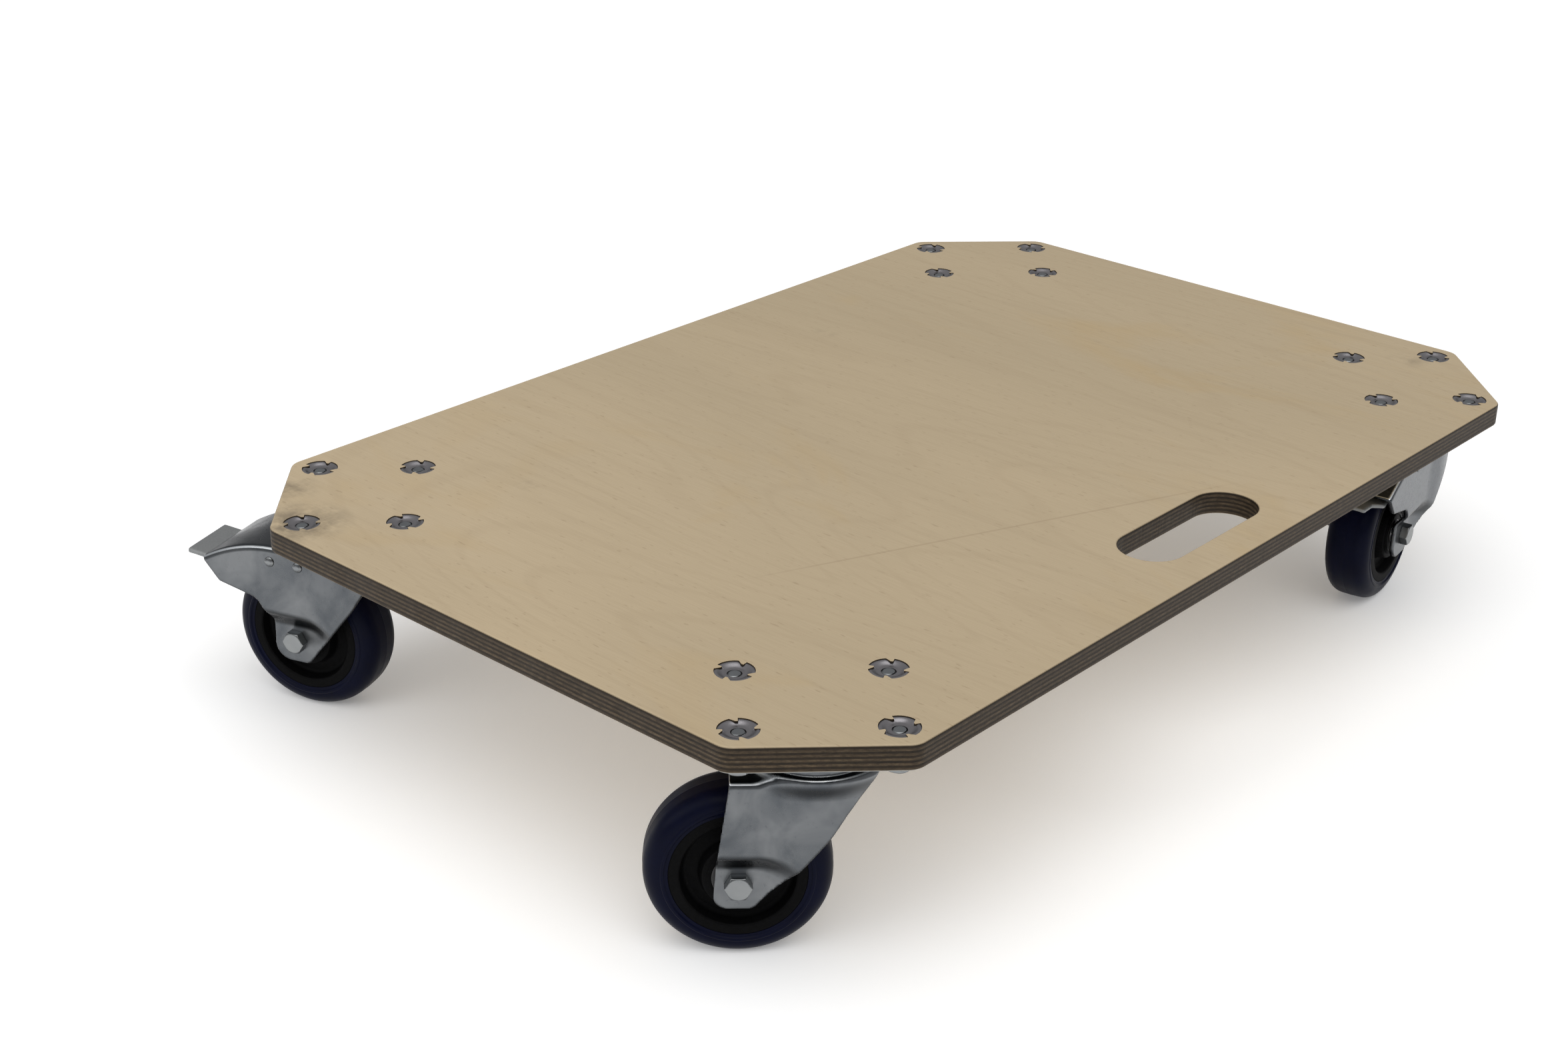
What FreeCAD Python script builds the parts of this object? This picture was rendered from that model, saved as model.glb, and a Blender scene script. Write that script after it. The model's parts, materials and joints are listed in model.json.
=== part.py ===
import FreeCAD, Part
import math
import os

# Furniture dolly: a birch plywood deck on four swivel castors, two of them with
# a total-lock brake. Millimetres. The origin is the centre of the deck's top
# face, +X runs along the deck, +Y away from its hand slot, +Z up.

V = FreeCAD.Vector

# ---------------------------------------------------------------- deck
DECK_LENGTH = 750.0
DECK_WIDTH = 500.0
DECK_THICKNESS = 15.0
CORNER_CUT = 68.0            # leg of the 45 degree corner cut
CORNER_RADIUS = 12.0         # rounding of the eight outline corners
ARRIS_RADIUS = 1.5           # rounding of the top and bottom edges
SLOT_LENGTH = 118.0
SLOT_WIDTH = 40.0
SLOT_INSET = 45.0            # slot centre line to the deck's front edge

# ---------------------------------------------------------------- castor place
CASTOR_INSET = 68.0          # swivel axis to both deck edges
CORNERS = {                  # side signs (x, y), trail heading in degrees, brake
    "front_left": (-1, -1, 133.9, False),
    "rear_left": (-1, 1, 109.3, True),
    "front_right": (1, -1, 188.4, True),
    "rear_right": (1, 1, 152.0, False),
}

# ---------------------------------------------------------------- castor plate
PLATE_LENGTH = 105.0
PLATE_WIDTH = 85.0
PLATE_THICKNESS = 3.0
PLATE_CORNER = 9.0
HOLE_SPACING_LONG = 80.0
HOLE_SPACING_SHORT = 60.0
BOSS_WALL = 4.2              # ring left around the hollow that pressing down the middle makes

# ---------------------------------------------------------------- M8 hardware
BOLT_RADIUS = 4.0
BOLT_CLEARANCE = 0.4         # radial, bolt in a plate or fork hole
THREAD_CLEARANCE = 0.05      # radial, bolt in its nut or spacer tube
HEX_FLATS = 13.0
HEAD_HEIGHT = 5.3
NUT_HEIGHT = 8.0
BOLT_END_SINK = 1.5          # bolt end below the deck's top face
HEAD_BEVEL = 0.3             # flat side left below a hexagon's turned face, at its corners
THREAD_SHOWN = 2.0           # axle bolt past its nut
FLANGE_RADIUS = 11.0
FLANGE_THICKNESS = 1.2
FLANGE_SINK = 0.1            # flange rim below the deck's top face
FLANGE_RIM = 1.6             # level rim around the flange's dish
DISH_DEPTH = 1.6
BARREL_WALL = 1.25           # around the bolt's thread
BARREL_LENGTH = 8.0
PRONG_LENGTH = 7.0
PRONG_WIDTH = 4.0
PRONG_TIP = 0.8
PRONG_RADIUS = 8.6
PRONG_ANGLES = (45, 135, 225, 315)
NOTCH_RADIUS = 8.0           # the flange's radius in the notch behind each prong
NOTCH_TURN = (-13.0, -4.0, 14.0)    # degrees about the prong: abrupt start, end of the inner arc, run-out
TEE_NUT_SPIN = 37.0          # tee nuts are driven in at any angle

# ---------------------------------------------------------------- swivel head
BALL_RADIUS = 2.5
UPPER_BALLS = 18
LOWER_BALLS = 11
UPPER_CIRCLE = 27.0
LOWER_CIRCLE = 17.0
BALL_GAP = 0.3               # each ball to the race it rolls on across the joint
KINGPIN_RADIUS = 6.0
KINGPIN_HEAD = 10.0
KINGPIN_SINK = 0.4           # rivet head below the plate's top
RIVET_HEIGHT = 4.5           # the pin's lower, closed head
CROWN_HOLE = 13.0
CUP_WALL = 2.2
CUP_LIP = 0.8                # cup wall above the lower balls' centres
LIP_HEIGHT = 4.0             # crown lip around the upper balls

# ---------------------------------------------------------------- wheel
WHEEL_RADIUS = 50.0
TYRE_HALF_WIDTH = 16.0
TYRE_SHOULDER = 9.3
TYRE_CROWN = 0.5             # how far the tread centre stands above its shoulders
TREAD_BLEND = 60.0
BEAD_STEP = 0.8              # moulded bead at the tyre's side
CENTRE_RADIUS = 36.5
CENTRE_HALF_WIDTH = 15.2
RIM_WALL = 6.0
WEB_HALF_WIDTH = 9.0
HUB_RADIUS = 19.0
HUB_HALF_LENGTH = 17.5
BEARING_RADIUS = 14.0
BEARING_WIDTH = 8.0
OUTER_RING_WALL = 2.0
SEAL_SINK = 0.5              # seal face below its ring's face
INNER_RING_RADIUS = 8.4
TUBE_RADIUS = 6.0
RUNNING_CLEARANCE = 0.05     # radial, between bearing seal and inner ring
TRAIL = 39.0                 # swivel axis to wheel axle
HEAD_ROOM = 31.5             # top of the wheel below the plate's top
AXLE_DROP = WHEEL_RADIUS + HEAD_ROOM

# ---------------------------------------------------------------- fork
SHEET = 3.0
CROWN_RADIUS = 36.0
CROWN_DROP = 12.0            # plate top down to the crown's shoulder
CROWN_BEND = 3.5
SHOULDER_DROP = 16.5         # plate top down to the flat behind the crown
NECK_DROP = 27.0             # where the flared crown meets the flat legs
NOSE = 8.0                   # how far the flat legs run ahead of the swivel axis
LEG_HALF = 30.5              # outside of the upper legs
FOOT_HALF = 23.0             # outside of the feet that hold the axle
JOGGLE_TOP = AXLE_DROP - 20.0
JOGGLE_BOTTOM = AXLE_DROP - 11.0
JOGGLE_OUTER = (19.0, 60.0)  # ahead of the axle: its outer bend's corner, and where it ends low down
JOGGLE_INNER = (15.0, 32.0)  # the same for its inner bend
JOGGLE_TURN = 3.0            # below the axle, where the joggle's front slope ends
TOP_BEND = 4.0
REAR_EDGE = 44.0             # rear edge of the crown top behind the swivel axis
FOOT_DROP = 15.0             # below the axle
FRONT_EDGE = [               # side view: ahead of the axle, above the axle, corner radius
    (8.0, -FOOT_DROP, 5.0), (17.0, -3.5, 12.0), (30.0, 11.0, 40.0),
    (46.5, 32.0, 30.0), (57.5, 50.0, 60.0)]
CROWN_TRIM = 1.5             # how far the front edge cuts into the crown's rim
REAR_TOP_CORNER = (3.0, 3.0)     # below the shoulder, corner radius
REAR_WAIST = (6.0, 120.0)        # behind the rear edge at the joggle's top, corner radius
REAR_FOOT = (13.5, 7.0)          # behind the axle at the foot, corner radius

# ---------------------------------------------------------------- brake
HOOD_LENGTH = 98.5
HOOD_DROP = 32.5
HOOD_FLAT = 2.0              # level roof behind the crown's rear edge, before the hood curves
HOOD_MIDDLE = (29.0, 5.2)    # a point of the hood's curve: behind the rear edge, below the shoulder
HOOD_RUN_OUT = (4.0, 2.0)    # the curve's end, past the hood and below its rear corner
HOOD_REAR = [                # rear edge in side view: behind the axle, drop, corner radius
    (59.5, 33.5, 1.5), (48.5, 47.0, 2.5), (22.0, 53.5, 10.0), (15.0, 64.0, 12.0)]
HOOD_FOOT = (16.5, 10.0)     # behind the axle at the foot, corner radius
PEDAL_SHEET = 2.5
PEDAL_TIP = 117.0
PEDAL_TIP_HALF = 20.0
PEDAL_SIDE_GAP = 1.0         # pedal walls to the fork's legs
PEDAL_TOP_GAP = 1.4          # pedal sheet to the hood above it
PEDAL_FRONT = 4.0            # pedal sheet's front end behind the rear edge
TOE_START = 2.0              # where the pedal narrows, ahead of the hood's end
TOE_TAPER = 7.0              # length over which it narrows to the toe plate
TOE_RISE = 1.6
WALL_BELOW_PIN = 7.0
WALL_REAR = (14.0, 20.0)     # where the pedal's walls run out, ahead of the hood's end
PEDAL_PIVOT_U = 49.0
PEDAL_PIVOT_DROP = 26.5
PIN_RADIUS = 2.4
PIN_CLEARANCE = 0.05
PIN_HEAD_RADIUS = 3.4
PIN_HEAD_HEIGHT = 1.4
SHOE_GAP = 4.0               # shoe to tyre with the pedal up
SHOE_HALF_WIDTH = 13.0
SHOE_START = 60.0
SHOE_END = 76.0
SPRING_PIN_U = 29.0
LEAF = 0.8                   # leaf spring's thickness
LEAF_END_GAP = 3.0           # leaf's rear end to the pivot pin

BARREL_RADIUS = BOLT_RADIUS + THREAD_CLEARANCE + BARREL_WALL
BOSS_RADIUS = UPPER_CIRCLE - BALL_RADIUS - BALL_GAP
RECESS_RADIUS = BOSS_RADIUS - BOSS_WALL
PEDAL_HALF = LEG_HALF - SHEET - PEDAL_SIDE_GAP
FOOT_INNER = FOOT_HALF - SHEET
CROWN_DISC_TOP = -PLATE_THICKNESS - BALL_GAP - 2 * BALL_RADIUS
CUP_TOP = CROWN_DISC_TOP - SHEET - 2 * BALL_RADIUS - BALL_GAP
BIG = 400.0                  # reach of cutting tools, past everything


# ---------------------------------------------------------------- helpers
def cylinder(radius, low, high, centre=(0, 0)):
    """Upright cylinder between two heights."""
    return Part.makeCylinder(radius, high - low, V(centre[0], centre[1], low))


def cross_cylinder(radius, low, high, u, z):
    """Cylinder across the castor (along Y) at a place in its side view."""
    return Part.makeCylinder(radius, high - low, V(u, low, z), V(0, 1, 0))


def block(x_range, y_range, z_range):
    size = [high - low for low, high in (x_range, y_range, z_range)]
    return Part.makeBox(*size, V(x_range[0], y_range[0], z_range[0]))


def rounded_wire(points, place):
    """Closed outline through (a, b, radius) points; place turns (a, b) into a vector."""
    edges = []
    starts, ends, middles = [], [], []
    count = len(points)
    for index, (a, b, radius) in enumerate(points):
        corner = V(a, b, 0)
        before = V(*points[index - 1][:2], 0) - corner
        after = V(*points[(index + 1) % count][:2], 0) - corner
        before.normalize()
        after.normalize()
        half_angle = before.getAngle(after) / 2
        if radius == 0 or math.pi / 2 - half_angle < 1e-6:
            starts.append(corner)
            ends.append(corner)
            middles.append(None)
            continue
        reach = radius / math.tan(half_angle)
        bisector = before + after
        bisector.normalize()
        arc_centre = corner + bisector * (radius / math.sin(half_angle))
        starts.append(corner + before * reach)
        ends.append(corner + after * reach)
        middles.append(arc_centre - bisector * radius)
    for index in range(count):
        if middles[index] is not None:
            arc = [place(p) for p in (starts[index], middles[index], ends[index])]
            edges.append(Part.Arc(*arc).toShape())
        following = starts[(index + 1) % count]
        if (following - ends[index]).Length > 1e-6:
            edges.append(Part.LineSegment(place(ends[index]), place(following)).toShape())
    return Part.Wire(edges)


def side_prism(points, low, high):
    """Side view outline (u, z, radius) carried across the castor from low to high."""
    wire = rounded_wire(points, lambda p: V(p.x, low, p.y))
    return Part.Face(wire).extrude(V(0, high - low, 0))


def spun(points, axis="Z", at=(0, 0, 0)):
    """Outline of (radius, height, fillet) points turned about the Z or Y axis."""
    if axis == "Z":
        wire = rounded_wire(points, lambda p: V(p.x, 0, p.y))
        solid = Part.Face(wire).revolve(V(0, 0, 0), V(0, 0, 1), 360)
    else:
        wire = rounded_wire(points, lambda p: V(p.x, p.y, 0))
        solid = Part.Face(wire).revolve(V(0, 0, 0), V(0, 1, 0), 360)
    solid.translate(V(*at))
    return solid


def hexagon(flats, height):
    radius = flats / math.sqrt(3)
    ring = [V(radius * math.cos(math.radians(60 * k)), radius * math.sin(math.radians(60 * k)), 0)
            for k in range(6)]
    return Part.Face(Part.makePolygon(ring + ring[:1])).extrude(V(0, 0, height))


def chamfered_hex(flats, height):
    """Hexagon whose far face has its corners turned away at 30 degrees."""
    corner = flats / math.sqrt(3)
    fall = math.tan(math.radians(30))
    face = flats / 2 - HEAD_BEVEL / fall
    cone = spun([(0, -1, 0), (2 * corner, -1, 0), (2 * corner, height - (2 * corner - face) * fall, 0),
                 (face, height, 0), (0, height, 0)])
    return hexagon(flats, height).common(cone)


def turned(shape, degrees, offset):
    copy = shape.copy()
    copy.rotate(V(0, 0, 0), V(0, 0, 1), degrees)
    copy.translate(V(*offset))
    return copy


def across(shape, u, s, z, outward):
    """Stand an upright shape on a foot's side, its +Z pointing along outward (+1 or -1) Y."""
    copy = shape.copy()
    copy.rotate(V(0, 0, 0), V(1, 0, 0), -90 * outward)
    copy.translate(V(u, s, z))
    return copy


# ---------------------------------------------------------------- deck hardware
def hole_places():
    """Bolt places in the plate's own view: X along the corner cut, Y towards the corner."""
    return [(sx * HOLE_SPACING_LONG / 2, sy * HOLE_SPACING_SHORT / 2)
            for sx in (-1, 1) for sy in (-1, 1)]


def prong(angle):
    """One prong, bent down from a notch of the flange."""
    top = -FLANGE_SINK - DISH_DEPTH / 2
    half, tip = PRONG_WIDTH / 2, PRONG_TIP / 2
    outline = [V(PRONG_RADIUS, -half, top), V(PRONG_RADIUS, half, top),
               V(PRONG_RADIUS, tip, top - PRONG_LENGTH), V(PRONG_RADIUS, -tip, top - PRONG_LENGTH)]
    solid = Part.Face(Part.makePolygon(outline + outline[:1])).extrude(V(-FLANGE_THICKNESS, 0, 0))
    return turned(solid, angle, (0, 0, 0))


def flange_profile(inner):
    """Dished flange and barrel in section; the top of the deck is height 0."""
    rim = -FLANGE_SINK
    floor = rim - DISH_DEPTH
    foot = floor - FLANGE_THICKNESS
    half = FLANGE_THICKNESS / 2
    return [(inner, floor, 0), (BARREL_RADIUS + half, floor, 1.0),
            (FLANGE_RADIUS - FLANGE_RIM, rim, 1.5), (FLANGE_RADIUS, rim, 0),
            (FLANGE_RADIUS, rim - FLANGE_THICKNESS, 0),
            (FLANGE_RADIUS - FLANGE_RIM, rim - FLANGE_THICKNESS, 0), (BARREL_RADIUS + 2 * half, foot, 0),
            (BARREL_RADIUS, foot, 0), (BARREL_RADIUS, foot - BARREL_LENGTH, 0),
            (inner, foot - BARREL_LENGTH, 0)]


def notched(shape):
    """A tee nut's disc with the flange cut back behind each prong, which leaves four lobes."""
    start, inner_end, run_out = [math.radians(degrees) for degrees in NOTCH_TURN]
    far = FLANGE_RADIUS + FLANGE_THICKNESS
    ring = [V(radius * math.cos(angle), radius * math.sin(angle), -2 * DISH_DEPTH - FLANGE_THICKNESS)
            for radius, angle in ((far, start), (NOTCH_RADIUS, start), (NOTCH_RADIUS, inner_end),
                                  (far, run_out))]
    notch = Part.Face(Part.makePolygon(ring + ring[:1])).extrude(V(0, 0, DECK_THICKNESS))
    for angle in PRONG_ANGLES:
        shape = shape.cut(turned(notch, angle, (0, 0, 0)))
    return shape


def tee_nut():
    nut = notched(spun(flange_profile(BOLT_RADIUS + THREAD_CLEARANCE)))
    for angle in PRONG_ANGLES:
        nut = nut.fuse(prong(angle))
    return nut.removeSplitter()


def tee_nut_seat():
    """What a tee nut takes out of the deck: its dish, its barrel hole and its prongs."""
    profile = [(0, 1, 0), (FLANGE_RADIUS, 1, 0)]
    profile += [point for point in flange_profile(0)[4:9]]
    profile[-1] = (BARREL_RADIUS, -DECK_THICKNESS - 1, 0)
    profile.append((0, -DECK_THICKNESS - 1, 0))
    seat = notched(spun([(r, z, 0) for r, z, _ in profile]))
    for angle in PRONG_ANGLES:
        seat = seat.fuse(prong(angle))
    return seat


def plate_bolt():
    """Bolt up through the castor plate; height 0 is the top of the deck."""
    seat = -DECK_THICKNESS - PLATE_THICKNESS
    shank = cylinder(BOLT_RADIUS, seat, -BOLT_END_SINK)
    tip = [edge for edge in shank.Edges if abs(edge.BoundBox.ZMin + BOLT_END_SINK) < 1e-6]
    shank = shank.makeChamfer(0.7, tip[:1])
    head = chamfered_hex(HEX_FLATS, HEAD_HEIGHT)
    head.rotate(V(0, 0, 0), V(1, 0, 0), 180)
    head.translate(V(0, 0, seat))
    return shank.fuse(head).removeSplitter()


def corner_place(name):
    """Swivel axis on the deck and the heading of the plate's view there."""
    sign_x, sign_y = CORNERS[name][:2]
    x = sign_x * (DECK_LENGTH / 2 - CASTOR_INSET)
    y = sign_y * (DECK_WIDTH / 2 - CASTOR_INSET)
    heading = math.degrees(math.atan2(sign_y, sign_x)) - 90
    return x, y, heading


def at_holes(shape, name, spin):
    """Copies of a fastener at one castor's four holes, each turned a little differently."""
    x, y, heading = corner_place(name)
    copies = []
    for index, (hole_x, hole_y) in enumerate(hole_places()):
        copy = turned(shape, spin * (index + 1) * (1 + list(CORNERS).index(name)), (hole_x, hole_y, 0))
        copies.append(turned(copy, heading, (x, y, 0)))
    return copies


def deck():
    half_x, half_y = DECK_LENGTH / 2, DECK_WIDTH / 2
    outline = []
    for sign_x, sign_y in ((-1, -1), (1, -1), (1, 1), (-1, 1)):
        on_long = (sign_x * (half_x - CORNER_CUT), sign_y * half_y, CORNER_RADIUS)
        on_short = (sign_x * half_x, sign_y * (half_y - CORNER_CUT), CORNER_RADIUS)
        outline += [on_long, on_short] if sign_x * sign_y < 0 else [on_short, on_long]
    wire = rounded_wire(outline, lambda p: V(p.x, p.y, 0))
    board = Part.Face(wire).extrude(V(0, 0, -DECK_THICKNESS))
    slot_y = -half_y + SLOT_INSET
    end = SLOT_LENGTH / 2
    side = SLOT_WIDTH / 2
    slot_points = [(sx * end, slot_y + sy * side, side - 0.01)
                   for sx, sy in ((-1, -1), (1, -1), (1, 1), (-1, 1))]
    slot = Part.Face(rounded_wire(slot_points, lambda p: V(p.x, p.y, 1))).extrude(V(0, 0, -BIG))
    board = board.cut(slot)
    flat = [edge for edge in board.Edges if edge.BoundBox.ZLength < 1e-6]
    board = board.makeFillet(ARRIS_RADIUS, flat)
    for name in CORNERS:
        for seat in at_holes(tee_nut_seat(), name, TEE_NUT_SPIN):
            board = board.cut(seat)
    return board


# ---------------------------------------------------------------- castor, in its own view
# u (X) runs back along the trail, s (Y) across, and height 0 is the top of the plate.
def top_plate():
    half_x, half_y = PLATE_LENGTH / 2, PLATE_WIDTH / 2
    outline = [(sx * half_x, sy * half_y, PLATE_CORNER)
               for sx, sy in ((-1, -1), (1, -1), (1, 1), (-1, 1))]
    plate = Part.Face(rounded_wire(outline, lambda p: V(p.x, p.y, 0)))
    plate = plate.extrude(V(0, 0, -PLATE_THICKNESS))
    plate = plate.fuse(cylinder(BOSS_RADIUS, -2 * PLATE_THICKNESS, -PLATE_THICKNESS / 2))
    plate = plate.cut(cylinder(RECESS_RADIUS, -PLATE_THICKNESS, 1))
    plate = plate.cut(cylinder(KINGPIN_RADIUS, -BIG, 1))
    for place in hole_places():
        plate = plate.cut(cylinder(BOLT_RADIUS + BOLT_CLEARANCE, -BIG, 1, place))
    return plate.removeSplitter()


def kingpin():
    """Riveted pin, and the lower race that it holds up against the balls."""
    cup_floor = CUP_TOP - CUP_WALL
    rivet_end = cup_floor - RIVET_HEIGHT
    pin = spun([(0, -KINGPIN_SINK, 0), (KINGPIN_HEAD, -KINGPIN_SINK, 1.0),
                (KINGPIN_HEAD, -PLATE_THICKNESS, 0),
                (KINGPIN_RADIUS, -PLATE_THICKNESS, 0), (KINGPIN_RADIUS, cup_floor, 0),
                (KINGPIN_HEAD, cup_floor, 0), (KINGPIN_HEAD - 1.5, rivet_end, 1.0),
                (0, rivet_end, 0)])
    wall_in = LOWER_CIRCLE + BALL_RADIUS + BALL_GAP
    wall_out = wall_in + CUP_WALL
    lip = CUP_TOP + BALL_RADIUS + CUP_LIP
    cup = spun([(KINGPIN_RADIUS, CUP_TOP, 0), (wall_in, CUP_TOP, 1.5), (wall_in, lip, 0),
                (wall_out, lip, 0), (wall_out, cup_floor, 2.0), (KINGPIN_RADIUS, cup_floor, 0)])
    return Part.makeCompound([pin, cup])


def swivel_balls():
    balls = []
    upper_z = CROWN_DISC_TOP + BALL_RADIUS
    lower_z = CROWN_DISC_TOP - SHEET - BALL_RADIUS
    for count, circle, height in ((UPPER_BALLS, UPPER_CIRCLE, upper_z),
                                  (LOWER_BALLS, LOWER_CIRCLE, lower_z)):
        for index in range(count):
            angle = 2 * math.pi * index / count
            centre = V(circle * math.cos(angle), circle * math.sin(angle), height)
            balls.append(Part.makeSphere(BALL_RADIUS, centre))
    return Part.makeCompound(balls)


def foot_pocket(outer, inner, grow, side):
    """The joggle that brings a leg in to the axle: what it takes off one side of the fork."""
    far = TRAIL + BIG
    top, slope_end = grow - JOGGLE_TOP, grow - JOGGLE_BOTTOM

    def outline(z, front, nose):
        return [(far, z), (front - grow, z), (nose - grow, -AXLE_DROP - JOGGLE_TURN),
                (nose - grow, -BIG), (far, -BIG)]

    def wire(points, s):
        ring = [V(u, side * s, z) for u, z in points]
        return Part.makePolygon(ring + ring[:1])

    wide = outline(top, *[TRAIL - ahead for ahead in JOGGLE_OUTER])
    narrow = outline(slope_end, *[TRAIL - ahead for ahead in JOGGLE_INNER])
    slope = Part.makeLoft([wire(narrow, inner), wire(wide, outer)], True, True)
    outside = Part.Face(wire(wide, outer)).extrude(V(0, side * BIG, 0))
    return slope.fuse(outside)


def crown_drum(radius, neck, top, bend):
    """The round front of the fork: a flared crown that narrows to the legs."""
    return spun([(0, top, 0), (radius, top, bend), (radius, top - bend - 0.5, 0),
                 (neck, -NECK_DROP, 8.0), (neck, -BIG, 0), (0, -BIG, 0)])


def fork_outline(braked):
    """Side view of the sheet: from the crown's front, over the top, down the back edge."""
    top = 1 - CROWN_DROP
    foot = -AXLE_DROP - FOOT_DROP
    outline = [(TRAIL - ahead, above - AXLE_DROP, fillet) for ahead, above, fillet in FRONT_EDGE]
    outline += [(CROWN_TRIM - CROWN_RADIUS, -CROWN_DROP - CROWN_TRIM, 0), (-CROWN_RADIUS - 1, top, 0)]
    if braked:
        outline.append((HOOD_LENGTH, top, 0))
        outline += [(TRAIL + behind, -drop, fillet) for behind, drop, fillet in HOOD_REAR]
        return outline + [(TRAIL + HOOD_FOOT[0], foot, HOOD_FOOT[1])]
    return outline + [(REAR_EDGE, top, 0),
                      (REAR_EDGE, -SHOULDER_DROP - REAR_TOP_CORNER[0], REAR_TOP_CORNER[1]),
                      (REAR_EDGE + REAR_WAIST[0], -JOGGLE_TOP, REAR_WAIST[1]),
                      (TRAIL + REAR_FOOT[0], foot, REAR_FOOT[1])]


def fork_top(half, drop, bend, braked):
    """The legs' outer or inner block with its round front, its top edges bent over."""
    low = -BIG
    top = -SHOULDER_DROP - drop
    if not braked:
        solid = block((-NOSE, BIG), (-half, half), (low, top))
    else:
        start = V(REAR_EDGE + HOOD_FLAT, 0, top)
        middle = V(REAR_EDGE + HOOD_MIDDLE[0], 0, top - HOOD_MIDDLE[1])
        end = V(HOOD_LENGTH + HOOD_RUN_OUT[0], 0, -HOOD_DROP - drop - HOOD_RUN_OUT[1])
        edges = [Part.LineSegment(V(-NOSE, 0, top), start).toShape(),
                 Part.Arc(start, middle, end).toShape(),
                 Part.LineSegment(end, V(end.x, 0, low)).toShape(),
                 Part.LineSegment(V(end.x, 0, low), V(-NOSE, 0, low)).toShape(),
                 Part.LineSegment(V(-NOSE, 0, low), V(-NOSE, 0, top)).toShape()]
        solid = Part.Face(Part.Wire(edges)).extrude(V(0, 2 * half, 0))
        solid.translate(V(0, -half, 0))
    upper = [edge for edge in solid.Edges
             if edge.BoundBox.YLength < 1e-3 and edge.BoundBox.ZMin > -BIG / 2]
    front = spun([(0, top, 0), (half, top, bend), (half, low, 0), (0, low, 0)], "Z", (-NOSE, 0, 0))
    return solid.makeFillet(bend, upper).fuse(front)


def fork(braked):
    outer = crown_drum(CROWN_RADIUS, LEG_HALF, -CROWN_DROP, CROWN_BEND)
    outer = outer.fuse(fork_top(LEG_HALF, 0, TOP_BEND, braked))
    outer = outer.common(side_prism(fork_outline(braked), -BIG / 2, BIG / 2))
    hollow = crown_drum(CROWN_RADIUS - SHEET, LEG_HALF - SHEET, -CROWN_DROP - SHEET, 1.0)
    hollow = hollow.fuse(fork_top(LEG_HALF - SHEET, SHEET, TOP_BEND - SHEET + 0.5, braked))
    slope = math.atan2(LEG_HALF - FOOT_HALF, JOGGLE_BOTTOM - JOGGLE_TOP)
    for side in (-1, 1):
        outer = outer.cut(foot_pocket(LEG_HALF, FOOT_HALF, 0, side))
        grow = SHEET * math.tan(slope / 2)
        hollow = hollow.cut(foot_pocket(LEG_HALF - SHEET, FOOT_INNER, grow, side))
    body = outer.cut(hollow)
    # The crown's middle is pressed up into a disc with a lip, to hold the upper balls.
    lip_out = UPPER_CIRCLE + BALL_RADIUS + BALL_GAP + SHEET
    disc_low = CROWN_DISC_TOP - SHEET
    body = body.cut(cylinder(lip_out - SHEET, -CROWN_DROP - SHEET - 1, 1))
    dome = spun([(CROWN_HOLE, CROWN_DISC_TOP, 0), (lip_out - SHEET, CROWN_DISC_TOP, 1.5),
                 (lip_out - SHEET, CROWN_DISC_TOP + LIP_HEIGHT, 0),
                 (lip_out, CROWN_DISC_TOP + LIP_HEIGHT, 1.0), (lip_out, -CROWN_DROP - SHEET, 0),
                 (lip_out - SHEET, -CROWN_DROP - SHEET, 0), (lip_out - SHEET, disc_low, 0),
                 (CROWN_HOLE, disc_low, 0)])
    body = body.fuse(dome)
    body = body.cut(cross_cylinder(BOLT_RADIUS + BOLT_CLEARANCE, -BIG, BIG, TRAIL, -AXLE_DROP))
    if braked:
        for u in (PEDAL_PIVOT_U, SPRING_PIN_U):
            body = body.cut(cross_cylinder(PIN_RADIUS, -BIG, BIG, u, -PEDAL_PIVOT_DROP))
    return body.removeSplitter()


# ---------------------------------------------------------------- axle and wheel
def axle_bolt():
    length = 2 * FOOT_HALF + NUT_HEIGHT + THREAD_SHOWN
    shank = cylinder(BOLT_RADIUS, -length, 0)
    bolt = shank.fuse(chamfered_hex(HEX_FLATS, HEAD_HEIGHT))
    return across(bolt.removeSplitter(), TRAIL, FOOT_HALF, -AXLE_DROP, 1)


def axle_nut():
    nut = chamfered_hex(HEX_FLATS, NUT_HEIGHT)
    nut = nut.cut(cylinder(BOLT_RADIUS + THREAD_CLEARANCE, -1, BIG))
    return across(nut, TRAIL, -FOOT_HALF, -AXLE_DROP, -1)


def axle_tube():
    """Spacer tube between the feet, and the bearings' inner rings on it."""
    tube = spun([(BOLT_RADIUS + THREAD_CLEARANCE, -FOOT_INNER, 0), (TUBE_RADIUS, -FOOT_INNER, 0),
                 (TUBE_RADIUS, FOOT_INNER, 0), (BOLT_RADIUS + THREAD_CLEARANCE, FOOT_INNER, 0)],
                "Y", (TRAIL, 0, -AXLE_DROP))
    solids = [tube]
    for side in (-1, 1):
        low, high = sorted((side * HUB_HALF_LENGTH, side * (HUB_HALF_LENGTH - BEARING_WIDTH)))
        ring = [(TUBE_RADIUS, low, 0), (INNER_RING_RADIUS, low, 0.4),
                (INNER_RING_RADIUS, high, 0.4), (TUBE_RADIUS, high, 0)]
        solids.append(spun(ring, "Y", (TRAIL, 0, -AXLE_DROP)))
    return Part.makeCompound(solids)


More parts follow.
